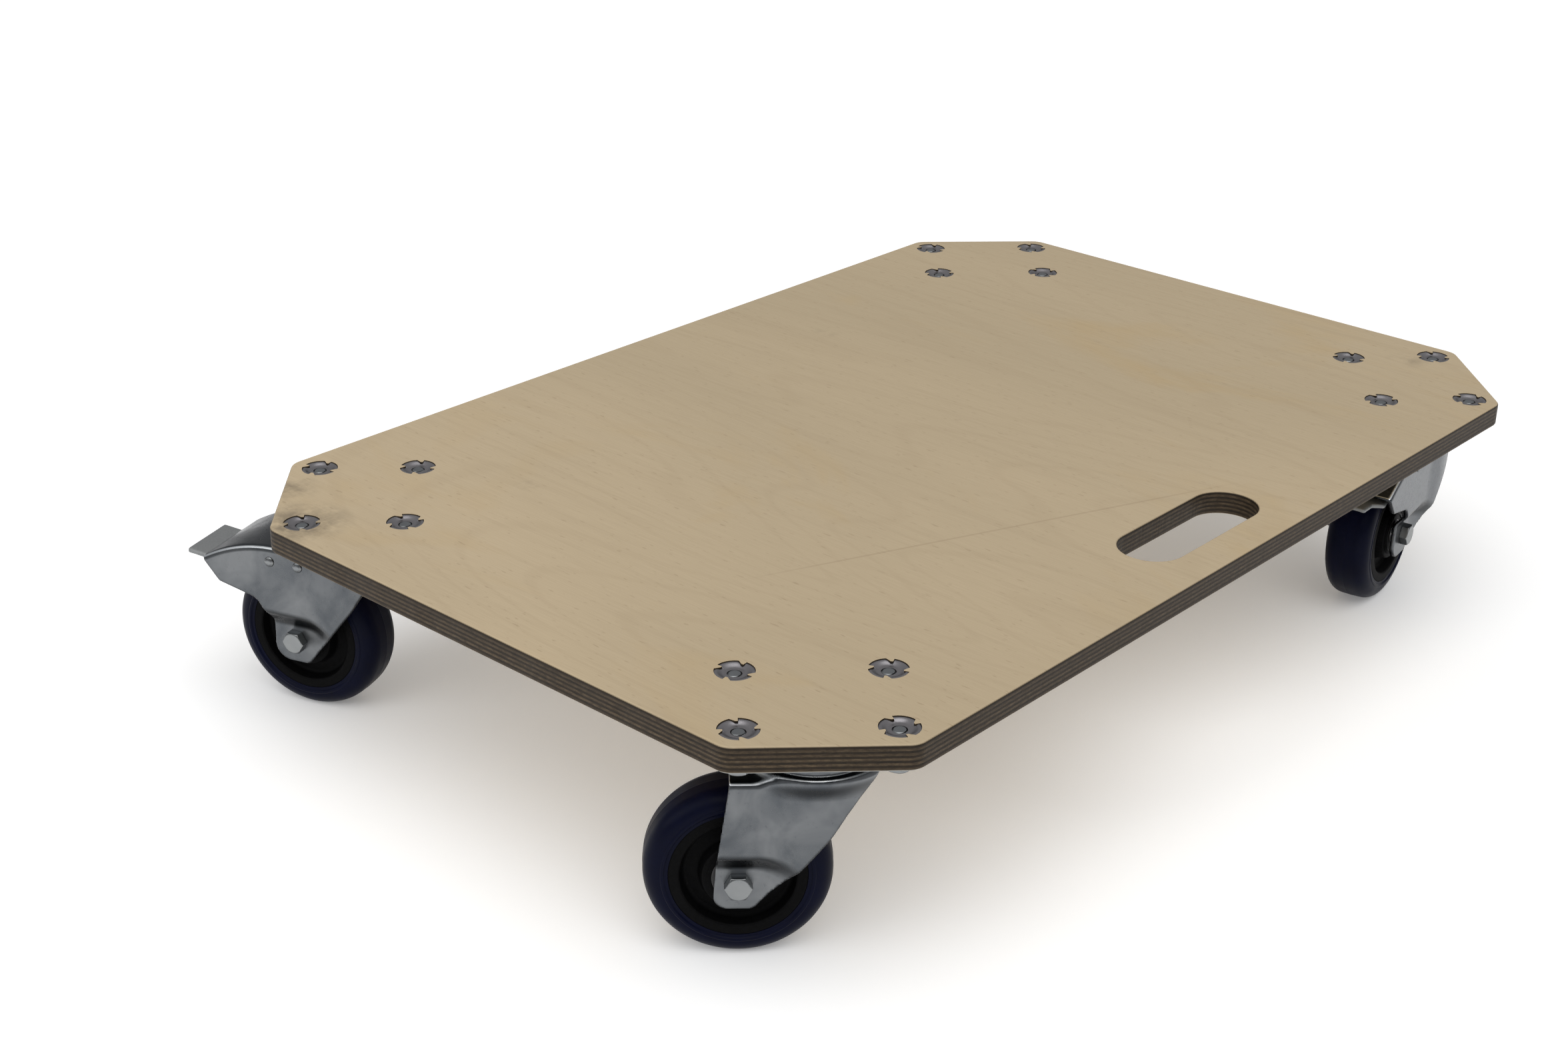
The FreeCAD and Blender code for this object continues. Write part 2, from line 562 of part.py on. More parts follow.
def wheel_bearings():
    """Outer rings with their seals."""
    solids = []
    bore = INNER_RING_RADIUS + RUNNING_CLEARANCE
    wall_in = BEARING_RADIUS - OUTER_RING_WALL
    for side in (-1, 1):
        low, high = sorted((side * HUB_HALF_LENGTH, side * (HUB_HALF_LENGTH - BEARING_WIDTH)))
        ring = [(bore, low + SEAL_SINK, 0), (wall_in, low + SEAL_SINK, 0), (wall_in, low, 0),
                (BEARING_RADIUS, low, 0.4), (BEARING_RADIUS, high, 0.4), (wall_in, high, 0),
                (wall_in, high - SEAL_SINK, 0), (bore, high - SEAL_SINK, 0)]
        solids.append(spun(ring, "Y", (TRAIL, 0, -AXLE_DROP)))
    return Part.makeCompound(solids)


def wheel_centre():
    """Moulded hub, web and rim; bearing seats at both ends of the hub."""
    seat = HUB_HALF_LENGTH - BEARING_WIDTH
    rim_in = CENTRE_RADIUS - RIM_WALL
    right = [(BEARING_RADIUS - OUTER_RING_WALL, seat, 0), (BEARING_RADIUS, seat, 0),
             (BEARING_RADIUS, HUB_HALF_LENGTH, 0), (HUB_RADIUS, HUB_HALF_LENGTH, 1.2),
             (HUB_RADIUS + 1.5, WEB_HALF_WIDTH, 2.0), (rim_in - 1.0, WEB_HALF_WIDTH, 2.0),
             (rim_in, CENTRE_HALF_WIDTH, 1.0), (CENTRE_RADIUS, CENTRE_HALF_WIDTH, 0)]
    left = [(r, -s, fillet) for r, s, fillet in reversed(right)]
    return spun(right + left, "Y", (TRAIL, 0, -AXLE_DROP))


def tyre():
    half = TYRE_HALF_WIDTH
    bead = half - BEAD_STEP
    right = [(CENTRE_RADIUS, bead, 0), (CENTRE_RADIUS + 3 * BEAD_STEP, bead, 0.5),
             (CENTRE_RADIUS + 4 * BEAD_STEP, half, 0.5),
             (WHEEL_RADIUS - TYRE_CROWN, half, TYRE_SHOULDER), (WHEEL_RADIUS, 0, TREAD_BLEND)]
    left = [(r, -s, fillet) for r, s, fillet in reversed(right[:-1])]
    return spun(right + left, "Y", (TRAIL, 0, -AXLE_DROP))


# ---------------------------------------------------------------- brake
def pedal_path():
    """Top of the pedal sheet in side view, from its front end back to the tip."""
    gap = SHEET + PEDAL_TOP_GAP
    front = -SHOULDER_DROP - gap
    end = -HOOD_DROP - gap
    return [(REAR_EDGE + PEDAL_FRONT, front, 0), (REAR_EDGE + 2.5 * PEDAL_FRONT, front, 30.0),
            (REAR_EDGE + HOOD_MIDDLE[0], front - HOOD_MIDDLE[1], 30.0),
            (HOOD_LENGTH - 3.0, end + TOE_RISE / 2, 25.0),
            (HOOD_LENGTH + HOOD_RUN_OUT[0], end, 8.0), (PEDAL_TIP, end + TOE_RISE, 0)]


def brake_pedal():
    """Pressed pedal: a curved top sheet, side walls that carry the pin, and the shoe below."""
    top = pedal_path()
    under = [(u, z - PEDAL_SHEET, fillet) for u, z, fillet in reversed(top)]
    toe = HOOD_LENGTH - TOE_START
    plan = [(REAR_EDGE, -PEDAL_HALF, 0), (toe, -PEDAL_HALF, 4.0),
            (toe + TOE_TAPER, -PEDAL_TIP_HALF, 4.0), (PEDAL_TIP, -PEDAL_TIP_HALF, 1.0)]
    plan += [(u, -s, fillet) for u, s, fillet in reversed(plan)]
    outline = Part.Face(rounded_wire(plan, lambda p: V(p.x, p.y, -BIG / 2))).extrude(V(0, 0, BIG))
    pedal = side_prism(top + under, -PEDAL_HALF, PEDAL_HALF).common(outline)
    wall_low = -PEDAL_PIVOT_DROP - WALL_BELOW_PIN
    wall = [(REAR_EDGE + 1.0, top[0][1], 0)] + top[1:3]
    wall += [(HOOD_LENGTH - WALL_REAR[0], top[3][1] + PEDAL_SHEET, 0),
             (HOOD_LENGTH - WALL_REAR[1], top[3][1] - WALL_BELOW_PIN / 2, 4.0),
             (PEDAL_PIVOT_U + WALL_BELOW_PIN, wall_low, 8.0), (REAR_EDGE + 1.0, wall_low, 5.0)]
    for side in (-1, 1):
        low, high = sorted((side * PEDAL_HALF, side * (PEDAL_HALF - PEDAL_SHEET)))
        pedal = pedal.fuse(side_prism(wall, low, high))
    root = top[1][1] - PEDAL_SHEET / 2
    shoe = side_prism([(SHOE_START, root, 0), (SHOE_END, root, 0), (SHOE_END, -AXLE_DROP, 0),
                       (SHOE_START, -AXLE_DROP, 0)], -SHOE_HALF_WIDTH, SHOE_HALF_WIDTH)
    shoe = shoe.cut(side_prism(top[:-1] + [(HOOD_LENGTH, 0, 0), (REAR_EDGE, 0, 0)], -BIG, BIG))
    shoe = shoe.cut(cross_cylinder(WHEEL_RADIUS + SHOE_GAP, -BIG, BIG, TRAIL, -AXLE_DROP))
    pedal = pedal.fuse(shoe)
    pedal = pedal.cut(cross_cylinder(PIN_RADIUS + PIN_CLEARANCE, -BIG, BIG, PEDAL_PIVOT_U,
                                     -PEDAL_PIVOT_DROP))
    return pedal.removeSplitter()


def pedal_pins():
    """Riveted pins across the fork: the pedal's pivot, and the one that holds the spring."""
    reach = LEG_HALF + PIN_HEAD_HEIGHT
    solids = []
    for u in (PEDAL_PIVOT_U, SPRING_PIN_U):
        half = [(0, reach, 0), (PIN_HEAD_RADIUS, reach, 0.8), (PIN_HEAD_RADIUS, LEG_HALF, 0),
                (PIN_RADIUS, LEG_HALF, 0)]
        whole = half + [(r, -s, fillet) for r, s, fillet in reversed(half)]
        solids.append(spun(whole, "Y", (u, 0, -PEDAL_PIVOT_DROP)))
    return Part.makeCompound(solids)


def brake_spring():
    """Leaf that bears on the pedal's walls: a strip over the spring pin, reaching to the pivot."""
    top = -PEDAL_PIVOT_DROP + PIN_RADIUS + LEAF
    reach = PEDAL_PIVOT_U - PIN_RADIUS - LEAF_END_GAP
    low = -PEDAL_PIVOT_DROP - PIN_RADIUS / 2
    fall = LEAF * 2
    knee = (SPRING_PIN_U + reach) / 2
    front = SPRING_PIN_U - 2 * PIN_RADIUS
    path = [(front, low, 0), (front + PIN_RADIUS - LEAF, top, 2.0), (knee, top, 6.0),
            (reach, top - fall, 0), (reach, top - fall - LEAF, 0), (knee, top - LEAF, 6.0),
            (front + PIN_RADIUS - LEAF / 8, top - LEAF, 1.0), (front + LEAF, low, 0)]
    return side_prism(path, -SHOE_HALF_WIDTH, SHOE_HALF_WIDTH)


# ---------------------------------------------------------------- build
def export(shape, node):
    shape.exportStep("parts/" + node + ".step")
    print("%-28s solids %2d  volume %10.1f mm3" % (node, len(shape.Solids), shape.Volume))


def build():
    os.makedirs("parts", exist_ok=True)
    export(deck(), "deck")
    fixed = {"kingpin": kingpin()}
    rolling = {"swivel_balls": swivel_balls(), "axle_bolt": axle_bolt(), "axle_nut": axle_nut(),
               "axle_tube": axle_tube(), "wheel_bearings": wheel_bearings(),
               "wheel_centre": wheel_centre(), "tyre": tyre()}
    braking = {"brake_pedal": brake_pedal(), "pedal_pins": pedal_pins(),
               "brake_spring": brake_spring()}
    forks = {False: fork(False), True: fork(True)}
    plate = top_plate()
    for name, (_, _, trail, braked) in CORNERS.items():
        x, y, heading = corner_place(name)
        export(Part.makeCompound(at_holes(tee_nut(), name, TEE_NUT_SPIN)), "tee_nuts_" + name)
        export(Part.makeCompound(at_holes(plate_bolt(), name, 0)), "plate_bolts_" + name)
        under_deck = (x, y, -DECK_THICKNESS)
        export(turned(plate, heading, under_deck), "top_plate_" + name)
        for node, shape in fixed.items():
            export(turned(shape, heading, under_deck), node + "_" + name)
        export(turned(forks[braked], trail, under_deck), "fork_" + name)
        pieces = dict(rolling, **braking) if braked else rolling
        for node, shape in pieces.items():
            export(turned(shape, trail, under_deck), node + "_" + name)


build()
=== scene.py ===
# %% [markdown]
# # A plywood furniture dolly on four swivel castors
#
# The dolly is one board of birch plywood, sixteen tee nuts, and four castors
# with blue rubber wheels. Two of the castors have a brake pedal. The packed
# frame already fixes every size, axis and joint, so this lesson only adds what
# the eye reads: veneer and plies, pressed zinc-plated steel, moulded rubber.

# %% Load the frame
import json
import math

import bpy
import bmesh
import numpy as np
from mathutils import Matrix, Vector


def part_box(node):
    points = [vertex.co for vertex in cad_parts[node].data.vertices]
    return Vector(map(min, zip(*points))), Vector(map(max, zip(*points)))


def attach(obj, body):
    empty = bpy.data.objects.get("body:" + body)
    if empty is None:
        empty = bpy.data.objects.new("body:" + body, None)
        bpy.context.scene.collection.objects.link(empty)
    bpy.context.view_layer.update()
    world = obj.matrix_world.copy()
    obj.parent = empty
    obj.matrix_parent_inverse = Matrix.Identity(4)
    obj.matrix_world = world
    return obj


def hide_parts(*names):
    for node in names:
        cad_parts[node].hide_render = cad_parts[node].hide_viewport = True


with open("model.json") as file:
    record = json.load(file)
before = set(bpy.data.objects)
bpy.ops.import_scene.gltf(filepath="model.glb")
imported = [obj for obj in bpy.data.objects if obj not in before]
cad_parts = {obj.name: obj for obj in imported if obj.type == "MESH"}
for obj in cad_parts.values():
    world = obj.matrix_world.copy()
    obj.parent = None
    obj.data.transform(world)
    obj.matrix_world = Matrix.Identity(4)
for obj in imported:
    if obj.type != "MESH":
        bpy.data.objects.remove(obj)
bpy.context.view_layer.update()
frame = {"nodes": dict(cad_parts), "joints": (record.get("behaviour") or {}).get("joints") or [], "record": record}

MM = 0.001

# %% [markdown]
# Each castor is drawn once, in its own view: u runs back along the trail, s
# across it, and height 0 is the top of the castor plate. The joints say where
# each castor stands and which way it trails, so a matrix built from them puts
# the drawing in place. Reading them keeps the castors right if the frame moves.

# %% Where the castors stand
joints = {joint["name"]: joint for joint in frame["joints"]}
corners = [name[len("swivel_"):] for name in joints if name.startswith("swivel_")]
braked = [corner for corner in corners if "brake_pedal_" + corner in joints]


def castor_place(corner):
    """Matrix from the castor's own view to the dolly."""
    swivel = Vector(joints["swivel_" + corner]["pos_m"])
    axle = Vector(joints["wheel_spin_" + corner]["pos_m"])
    along = Vector((axle.x - swivel.x, axle.y - swivel.y, 0)).normalized()
    side = Vector((-along.y, along.x, 0))
    turn = Matrix((along, side, Vector((0, 0, 1)))).transposed()
    return Matrix.Translation(swivel) @ turn.to_4x4()


places = {corner: castor_place(corner) for corner in corners}
sample_swivel = Vector(joints["swivel_" + corners[0]]["pos_m"])
sample_axle = Vector(joints["wheel_spin_" + corners[0]]["pos_m"])
trail = (sample_axle - sample_swivel).xy.length / MM
axle_drop = (sample_swivel.z - sample_axle.z) / MM
wheel_radius = (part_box("tyre_" + corners[0])[1].z - sample_axle.z) / MM
deck_low, deck_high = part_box("deck")
print("castors:", corners, "braked:", braked)
print("trail %.1f mm, axle %.1f mm down, wheel radius %.2f mm" % (trail, axle_drop, wheel_radius))

# %% [markdown]
# The camera looks down on one corner from a little above knee height with a
# 53 mm lens, far enough away that the deck's long lines still close in. It is
# placed first, because every later choice is judged through it.

# %% Camera
CAMERA_AT = (-1.07778, -0.84875, 0.57181)
CAMERA_FORWARD = (0.67567814, 0.60453399, -0.42189774)
CAMERA_ROLL = 0.72
CAMERA_LENS = 52.903

camera_data = bpy.data.cameras.new("camera")
camera_data.sensor_width = 36
camera_data.lens = CAMERA_LENS
camera_data.clip_start = 0.05
camera_data.clip_end = 60
camera = bpy.data.objects.new("camera", camera_data)
bpy.context.scene.collection.objects.link(camera)
camera.location = CAMERA_AT
camera.rotation_euler = Vector(CAMERA_FORWARD).to_track_quat("-Z", "Y").to_euler()
camera.rotation_euler.rotate_axis("Z", math.radians(CAMERA_ROLL))
bpy.context.scene.camera = camera
print("camera at", CAMERA_AT, "lens", CAMERA_LENS)

# %% [markdown]
# Light comes from a broad soft overhead source, like a large white ceiling,
# so the deck is bright and its edges fall off to shade. Plated steel only
# shows what it mirrors, so the sky is not one grey: it is bright overhead and
# dim at the horizon, which draws dark bands into the bends of the metal.

# %% Floor and light
scene = bpy.context.scene
scene.view_settings.view_transform = "Standard"

floor_height = min(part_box("tyre_" + corner)[0].z for corner in corners)
FLOOR_HALF = 12.0
floor_mesh = bpy.data.meshes.new("floor")
floor_corners = [(-FLOOR_HALF, -FLOOR_HALF), (FLOOR_HALF, -FLOOR_HALF),
                 (FLOOR_HALF, FLOOR_HALF), (-FLOOR_HALF, FLOOR_HALF)]
floor_mesh.from_pydata([(x, y, floor_height) for x, y in floor_corners], [], [(0, 1, 2, 3)])
floor = bpy.data.objects.new("floor", floor_mesh)
scene.collection.objects.link(floor)

SUN_STRENGTH = 1.75
SUN_WIDTH = 70
SUN_TILT = (math.radians(18), math.radians(-14), 0)
sun_data = bpy.data.lights.new("ceiling_light", "SUN")
sun_data.energy = SUN_STRENGTH
sun_data.angle = math.radians(SUN_WIDTH)
sun = bpy.data.objects.new("ceiling_light", sun_data)
sun.rotation_euler = SUN_TILT
scene.collection.objects.link(sun)

SIDE_LIGHT_POWER = 6.0
SIDE_LIGHT_SIZE = (0.5, 1.6)
SIDE_LIGHT_AT = (-1.9, 0.5, 0.7)
SIDE_LIGHT_AIM = (0, 0, 0.05)
side_data = bpy.data.lights.new("side_panel", "AREA")
side_data.shape = "RECTANGLE"
side_data.size, side_data.size_y = SIDE_LIGHT_SIZE
side_data.energy = SIDE_LIGHT_POWER
side_light = bpy.data.objects.new("side_panel", side_data)
side_light.location = SIDE_LIGHT_AT
side_aim = Vector(SIDE_LIGHT_AIM) - side_light.location
side_light.rotation_euler = side_aim.to_track_quat("-Z", "Z").to_euler()
scene.collection.objects.link(side_light)

SKY_HORIZON = (0.30, 0.31, 0.33, 1)
SKY_ABOVE = (1.0, 1.0, 1.0, 1)
SKY_STRENGTH = 0.50
SKY_DIM_BELOW = 0.02
SKY_BRIGHT_FROM = 0.55
world = bpy.data.worlds.new("booth")
world.use_nodes = True
scene.world = world
sky = world.node_tree
sky_way = sky.nodes.new("ShaderNodeTexCoord")
sky_split = sky.nodes.new("ShaderNodeSeparateXYZ")
sky_ramp = sky.nodes.new("ShaderNodeValToRGB")
sky_ramp.color_ramp.elements[0].position = SKY_DIM_BELOW
sky_ramp.color_ramp.elements[0].color = SKY_HORIZON
sky_ramp.color_ramp.elements[1].position = SKY_BRIGHT_FROM
sky_ramp.color_ramp.elements[1].color = SKY_ABOVE
sky.links.new(sky_way.outputs["Generated"], sky_split.inputs[0])
sky.links.new(sky_split.outputs["Z"], sky_ramp.inputs["Fac"])
sky.links.new(sky_ramp.outputs["Color"], sky.nodes["Background"].inputs["Color"])
sky.nodes["Background"].inputs["Strength"].default_value = SKY_STRENGTH
print("floor at %.3f m, sun %.1f, sky %.2f" % (floor_height, SUN_STRENGTH, SKY_STRENGTH))

# %% [markdown]
# Every finish is a small graph of the same few nodes: noise for what varies,
# a ramp to turn it into tone, a mix, and a bump. A short-hand class keeps each
# material readable as a recipe instead of a page of node wiring.


# %% A bench for mixing finishes
class Finish:
    """One material, with short calls for the nodes that its recipe needs."""

    def __init__(self, name, metallic=0.0, roughness=0.5, specular=0.5, colour=None):
        self.name = name
        self.material = bpy.data.materials.new(name)
        self.material.use_nodes = True
        self.tree = self.material.node_tree
        self.shader = self.tree.nodes["Principled BSDF"]
        self.shader.inputs["Metallic"].default_value = metallic
        self.shader.inputs["Roughness"].default_value = roughness
        self.shader.inputs["Specular IOR Level"].default_value = specular
        if colour:
            self.shader.inputs["Base Color"].default_value = (*colour, 1)
            self.material.diffuse_color = (*colour, 1)

    def node(self, kind, **settings):
        made = self.tree.nodes.new("ShaderNode" + kind)
        for key, value in settings.items():
            setattr(made, key, value)
        return made

    def put(self, socket, value):
        """Link a node's output into a socket, or set a plain number there."""
        if isinstance(value, bpy.types.NodeSocket):
            self.tree.links.new(value, socket)
        else:
            socket.default_value = value

    def place(self, stretch=(1, 1, 1)):
        """The piece's own coordinates in metres, stretched along its axes."""
        if not hasattr(self, "own"):
            self.own = self.node("TexCoord").outputs["Object"]
        mapping = self.node("Mapping")
        mapping.inputs["Scale"].default_value = stretch
        self.put(mapping.inputs["Vector"], self.own)
        return mapping.outputs["Vector"]

    def noise(self, stretch, scale, detail=2.0, rough=0.5, bend=0.0):
        made = self.node("TexNoise")
        self.put(made.inputs["Vector"], self.place(stretch))
        made.inputs["Scale"].default_value = scale
        made.inputs["Detail"].default_value = detail
        made.inputs["Roughness"].default_value = rough
        made.inputs["Distortion"].default_value = bend
        return made.outputs["Fac"]

    def span(self, value, low, high, to_low=0.0, to_high=1.0):
        """Stretch the range low..high to to_low..to_high, and stop at its ends."""
        made = self.node("MapRange")
        self.put(made.inputs["Value"], value)
        for socket, number in (("From Min", low), ("From Max", high),
                               ("To Min", to_low), ("To Max", to_high)):
            made.inputs[socket].default_value = number
        return made.outputs["Result"]

    def sum(self, how, first, second=0.5):
        made = self.node("Math", operation=how)
        self.put(made.inputs[0], first)
        self.put(made.inputs[1], second)
        return made.outputs[0]

    def blend(self, share, first, second, how="MIX"):
        made = self.node("Mix", data_type="RGBA", blend_type=how)
        self.put(made.inputs["Factor"], share)
        self.put(made.inputs["A"], first if not isinstance(first, tuple) else (*first, 1))
        self.put(made.inputs["B"], second if not isinstance(second, tuple) else (*second, 1))
        return made.outputs["Result"]

    def parts(self, vector):
        made = self.node("SeparateXYZ")
        self.put(made.inputs[0], vector)
        return made.outputs

    def spot(self, centre, radius):
        """1 near a point of the piece, falling to 0 at the radius."""
        made = self.node("VectorMath", operation="DISTANCE")
        self.put(made.inputs[0], self.place())
        made.inputs[1].default_value = centre
        return self.span(made.outputs["Value"], radius, radius * 0.2)

    def colour(self, value):
        self.put(self.shader.inputs["Base Color"], value)

    def roughness(self, value):
        self.put(self.shader.inputs["Roughness"], value)

    def relief(self, height, depth, strength=1.0):
        """Bump of that depth in metres."""
        made = self.node("Bump")
        made.inputs["Strength"].default_value = strength
        made.inputs["Distance"].default_value = depth
        self.put(made.inputs["Height"], height)
        self.put(self.shader.inputs["Normal"], made.outputs["Normal"])


FLOOR_TONE = (0.93, 0.93, 0.93)
FLOOR_GLOW = 0.18            # lifts the floor to white without more light on the dolly
floor_finish = Finish("pale_floor", roughness=0.7, colour=FLOOR_TONE)
floor_finish.shader.inputs["Emission Color"].default_value = (1, 1, 1, 1)
floor_finish.shader.inputs["Emission Strength"].default_value = FLOOR_GLOW
floor_mesh.materials.append(floor_finish.material)

# %% [markdown]
# Pressed steel has no sharp inside corners: the sheet flows from the round
# crown into the flat legs. The way here is to write the shape as a distance:
# a formula that is negative inside the metal and zero on its skin. Two shapes
# join with a soft minimum, which rounds the joint as a press tool would. A
# grid then finds the zero surface and each point is settled exactly onto it.


# %% Soft joins and outlines
def soft_max(first, second, radius):
    """Keep what both shapes share, with the edge rounded."""
    share = np.clip(0.5 + 0.5 * (first - second) / radius, 0, 1)
    return second + (first - second) * share + radius * share * (1 - share)


def soft_min(first, second, radius):
    """Join two shapes, with the inside corner filled to a fillet."""
    return -soft_max(-first, -second, radius)


def ease(value):
    """0 to 1 with a level start and end."""
    value = np.clip(value, 0, 1)
    return value * value * (3 - 2 * value)


def rounded(points, step=12):
    """Outline through (a, b, radius) corners, its rounded corners as short chords."""
    outline = []
    for index, (a, b, radius) in enumerate(points):
        corner = Vector((a, b))
        if radius == 0:
            outline.append(corner)
            continue
        before = (Vector(points[index - 1][:2]) - corner).normalized()
        after = (Vector(points[(index + 1) % len(points)][:2]) - corner).normalized()
        half = before.angle(after) / 2
        centre = corner + (before + after).normalized() * (radius / math.sin(half))
        start = corner + before * (radius / math.tan(half)) - centre
        turn = start.angle_signed(corner + after * (radius / math.tan(half)) - centre)
        count = max(1, round(abs(math.degrees(turn)) / step))
        for k in range(count + 1):
            outline.append(centre + Matrix.Rotation(-turn * k / count, 2) @ start)
    return [tuple(point) for point in outline]


def outline_distance(outline, a, b):
    """Distance to an outline, negative inside it."""
    nearest, inside = 1e9, False
    for (a0, b0), (a1, b1) in zip(outline, outline[1:] + outline[:1]):
        run_a, run_b = a1 - a0, b1 - b0
        if math.hypot(run_a, run_b) < 1e-6:
            continue
        share = np.clip(((a - a0) * run_a + (b - b0) * run_b) / (run_a ** 2 + run_b ** 2), 0, 1)
        nearest = np.minimum(nearest, np.hypot(a - a0 - run_a * share, b - b0 - run_b * share))
        if run_b:
            passes = ((b0 <= b) != (b1 <= b)) & (a < a0 + (b - b0) / run_b * run_a)
            inside = inside ^ passes
    return np.where(inside, -nearest, nearest)


# %% The skin of a distance formula
PROBE = 0.02                 # shares of a grid step: how far the slope is felt,
LONGEST_MOVE = 0.4           # and how far a point may move at once
STEEP_ENOUGH = 0.05          # slope squared below which a formula is treated as flat


def skin(shape, low, high, step, settle=4):
    """Quads around the zero surface of shape(x, y, z): one point in each cell it crosses."""
    axes = [np.arange(a - 2 * step, b + 3 * step, step) for a, b in zip(low, high)]
    grid = np.meshgrid(*axes, indexing="ij", sparse=True)
    value = np.broadcast_to(shape(*grid), [len(axis) for axis in axes])
    cells = tuple(n - 1 for n in value.shape)
    total = [np.zeros(np.prod(cells)) for _ in range(4)]
    rings = []
    for axis in range(3):
        below = [slice(None)] * 3
        above = [slice(None)] * 3
        below[axis], above[axis] = slice(0, -1), slice(1, None)
        v0, v1 = value[tuple(below)], value[tuple(above)]
        crossing = np.argwhere((v0 < 0) != (v1 < 0))
        start, end = v0[tuple(crossing.T)], v1[tuple(crossing.T)]
        point = crossing.astype(float)
        point[:, axis] += start / (start - end)
        ring = []
        for back_1, back_2 in ((0, 0), (1, 0), (1, 1), (0, 1)):
            cell = crossing.copy()
            cell[:, (axis + 1) % 3] -= back_1
            cell[:, (axis + 2) % 3] -= back_2
            number = np.ravel_multi_index(tuple(cell.T), cells)
            for k in range(3):
                total[k] += np.bincount(number, weights=point[:, k], minlength=len(total[k]))
            total[3] += np.bincount(number, minlength=len(total[3]))
            ring.append(number)
        ring = np.stack(ring, 1)
        ring[start >= 0] = ring[start >= 0][:, ::-1]
        rings.append(ring)
    used = np.flatnonzero(total[3])
    points = np.stack([total[k][used] / total[3][used] for k in range(3)], 1)
    points = points * step + np.array([axis[0] for axis in axes])
    index = np.full(len(total[3]), -1)
    index[used] = np.arange(len(used))
    nudges = np.eye(3) * step * PROBE
    for _ in range(settle):
        here = shape(*points.T)
        slope = np.stack([shape(*(points + nudge).T) - here for nudge in nudges], 1) / (step * PROBE)
        move = slope * (here / np.maximum((slope ** 2).sum(1), STEEP_ENOUGH))[:, None]
        length = np.linalg.norm(move, axis=1, keepdims=True)
        points = points - move * np.minimum(1, LONGEST_MOVE * step / np.maximum(length, 1e-9))
    return points, index[np.concatenate(rings)]


# %% [markdown]
# Turned pieces, such as tyres and rivets, come from a lathe: one outline spun
# about an axis. Both kinds of mesh go through one maker, which sets smooth
# shading and the finish, puts the piece in place, hangs it on an empty for
# the body that carries it, and hides the plain solid it stands for.


# %% Lathe and piece maker
def lathe(outline, around="Y", segments=96, centre=(0, 0, 0)):
    """Closed outline of (radius, height) points spun about an axis through centre."""
    angles = np.linspace(0, 2 * math.pi, segments, endpoint=False)
    radius, height = np.array(outline).T
    flat_a = np.outer(np.cos(angles), radius)
    flat_b = np.outer(np.sin(angles), radius)
    along = np.broadcast_to(height, flat_a.shape)
    order = (flat_a, along, flat_b) if around == "Y" else (flat_a, flat_b, along)
    points = np.stack(order, 2).reshape(-1, 3) + np.array(centre)
    count = len(outline)
    i, j = np.meshgrid(np.arange(segments), np.arange(count), indexing="ij")
    i2, j2 = (i + 1) % segments, (j + 1) % count
    quads = np.stack([i * count + j, i2 * count + j, i2 * count + j2, i * count + j2], 2)
    return points, quads.reshape(-1, 4)


def joined(*meshes):
    """Several (points, faces) as one."""
    points, faces, start = [], [], 0
    for piece_points, piece_faces in meshes:
        points.append(np.asarray(piece_points, float))
        faces += [[int(index) + start for index in face] for face in piece_faces]
        start += len(piece_points)
    return np.concatenate(points), faces


def as_mesh(name, shape, finish, crease=40):
    """Blender mesh from points in millimetres, outward facing and smooth up to the crease."""
    points, faces = shape
    mesh = bpy.data.meshes.new(name)
    mesh.from_pydata((np.asarray(points) * MM).tolist(), [],
                     faces if isinstance(faces, list) else faces.tolist())
    mesh.validate()
    clean(mesh)
    mesh.shade_smooth()
    mesh.set_sharp_from_angle(angle=math.radians(crease))
    mesh.materials.append(finish.material)
    return mesh


def clean(mesh):
    """Merge points that coincide, drop edges that no face uses, and face outward."""
    work = bmesh.new()
    work.from_mesh(mesh)
    bmesh.ops.remove_doubles(work, verts=work.verts, dist=1e-7)
    loose = [edge for edge in work.edges if not edge.link_faces]
    bmesh.ops.delete(work, geom=loose, context="EDGES")
    bmesh.ops.recalc_face_normals(work, faces=work.faces)
    work.to_mesh(mesh)
    work.free()


def fit(name, mesh, body, stands_for, place=None):
    """Set a piece in place, on its body."""
    if place is not None:
        mesh = mesh.copy()
        mesh.transform(place)
    piece = bpy.data.objects.new(name, mesh)
    scene.collection.objects.link(piece)
    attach(piece, body)
    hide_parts(*stands_for)


# %% [markdown]
# ## The deck
#
# Birch veneer is pale and close grained. It is peeled off a turning log, so
# its figure is broad, wandering and low in contrast, with short fine pores
# along the grain. On this board the face grain crosses the short way. The edge
# shows the plies: end grain drinks in light and looks dark, long grain stays
# tan. Both ply colours are also painted far darker than the wood, as painted
# shade for the sides that the overhead light leaves in shadow. The plies are
# bands of height, so the sides need no second mesh.

# %% Birch plywood
PLIES = 11
thickness = deck_high.z - deck_low.z
half_length, half_width = deck_high.x, deck_high.y
birch = Finish("birch_plywood", roughness=0.5, specular=0.18)
broad = birch.noise((1, 0.45, 1), 2.6, detail=3, bend=0.6)
face = birch.blend(birch.span(broad, 0.35, 0.68), (0.43, 0.345, 0.225), (0.49, 0.39, 0.255))
honey = birch.noise((1, 0.5, 1), 7.5, detail=4, rough=0.6, bend=1.2)
face = birch.blend(birch.span(honey, 0.56, 0.76, 0, 0.45), face, (0.45, 0.32, 0.155))
figure = birch.noise((1, 0.16, 1), 5.5, detail=1.5, bend=0.4)
rings = birch.sum("SINE", birch.sum("MULTIPLY", figure, 150.0))
face = birch.blend(birch.span(rings, 0.75, 1.0, 0, 0.10), face, (0.33, 0.245, 0.15))
streak = birch.noise((150, 4.5, 1), 1.0, detail=4, rough=0.6)
face = birch.blend(birch.span(streak, 0.52, 0.74, 0, 0.22), face, (0.34, 0.26, 0.165))
fibre = birch.noise((1400, 36, 1), 1.0, detail=2)
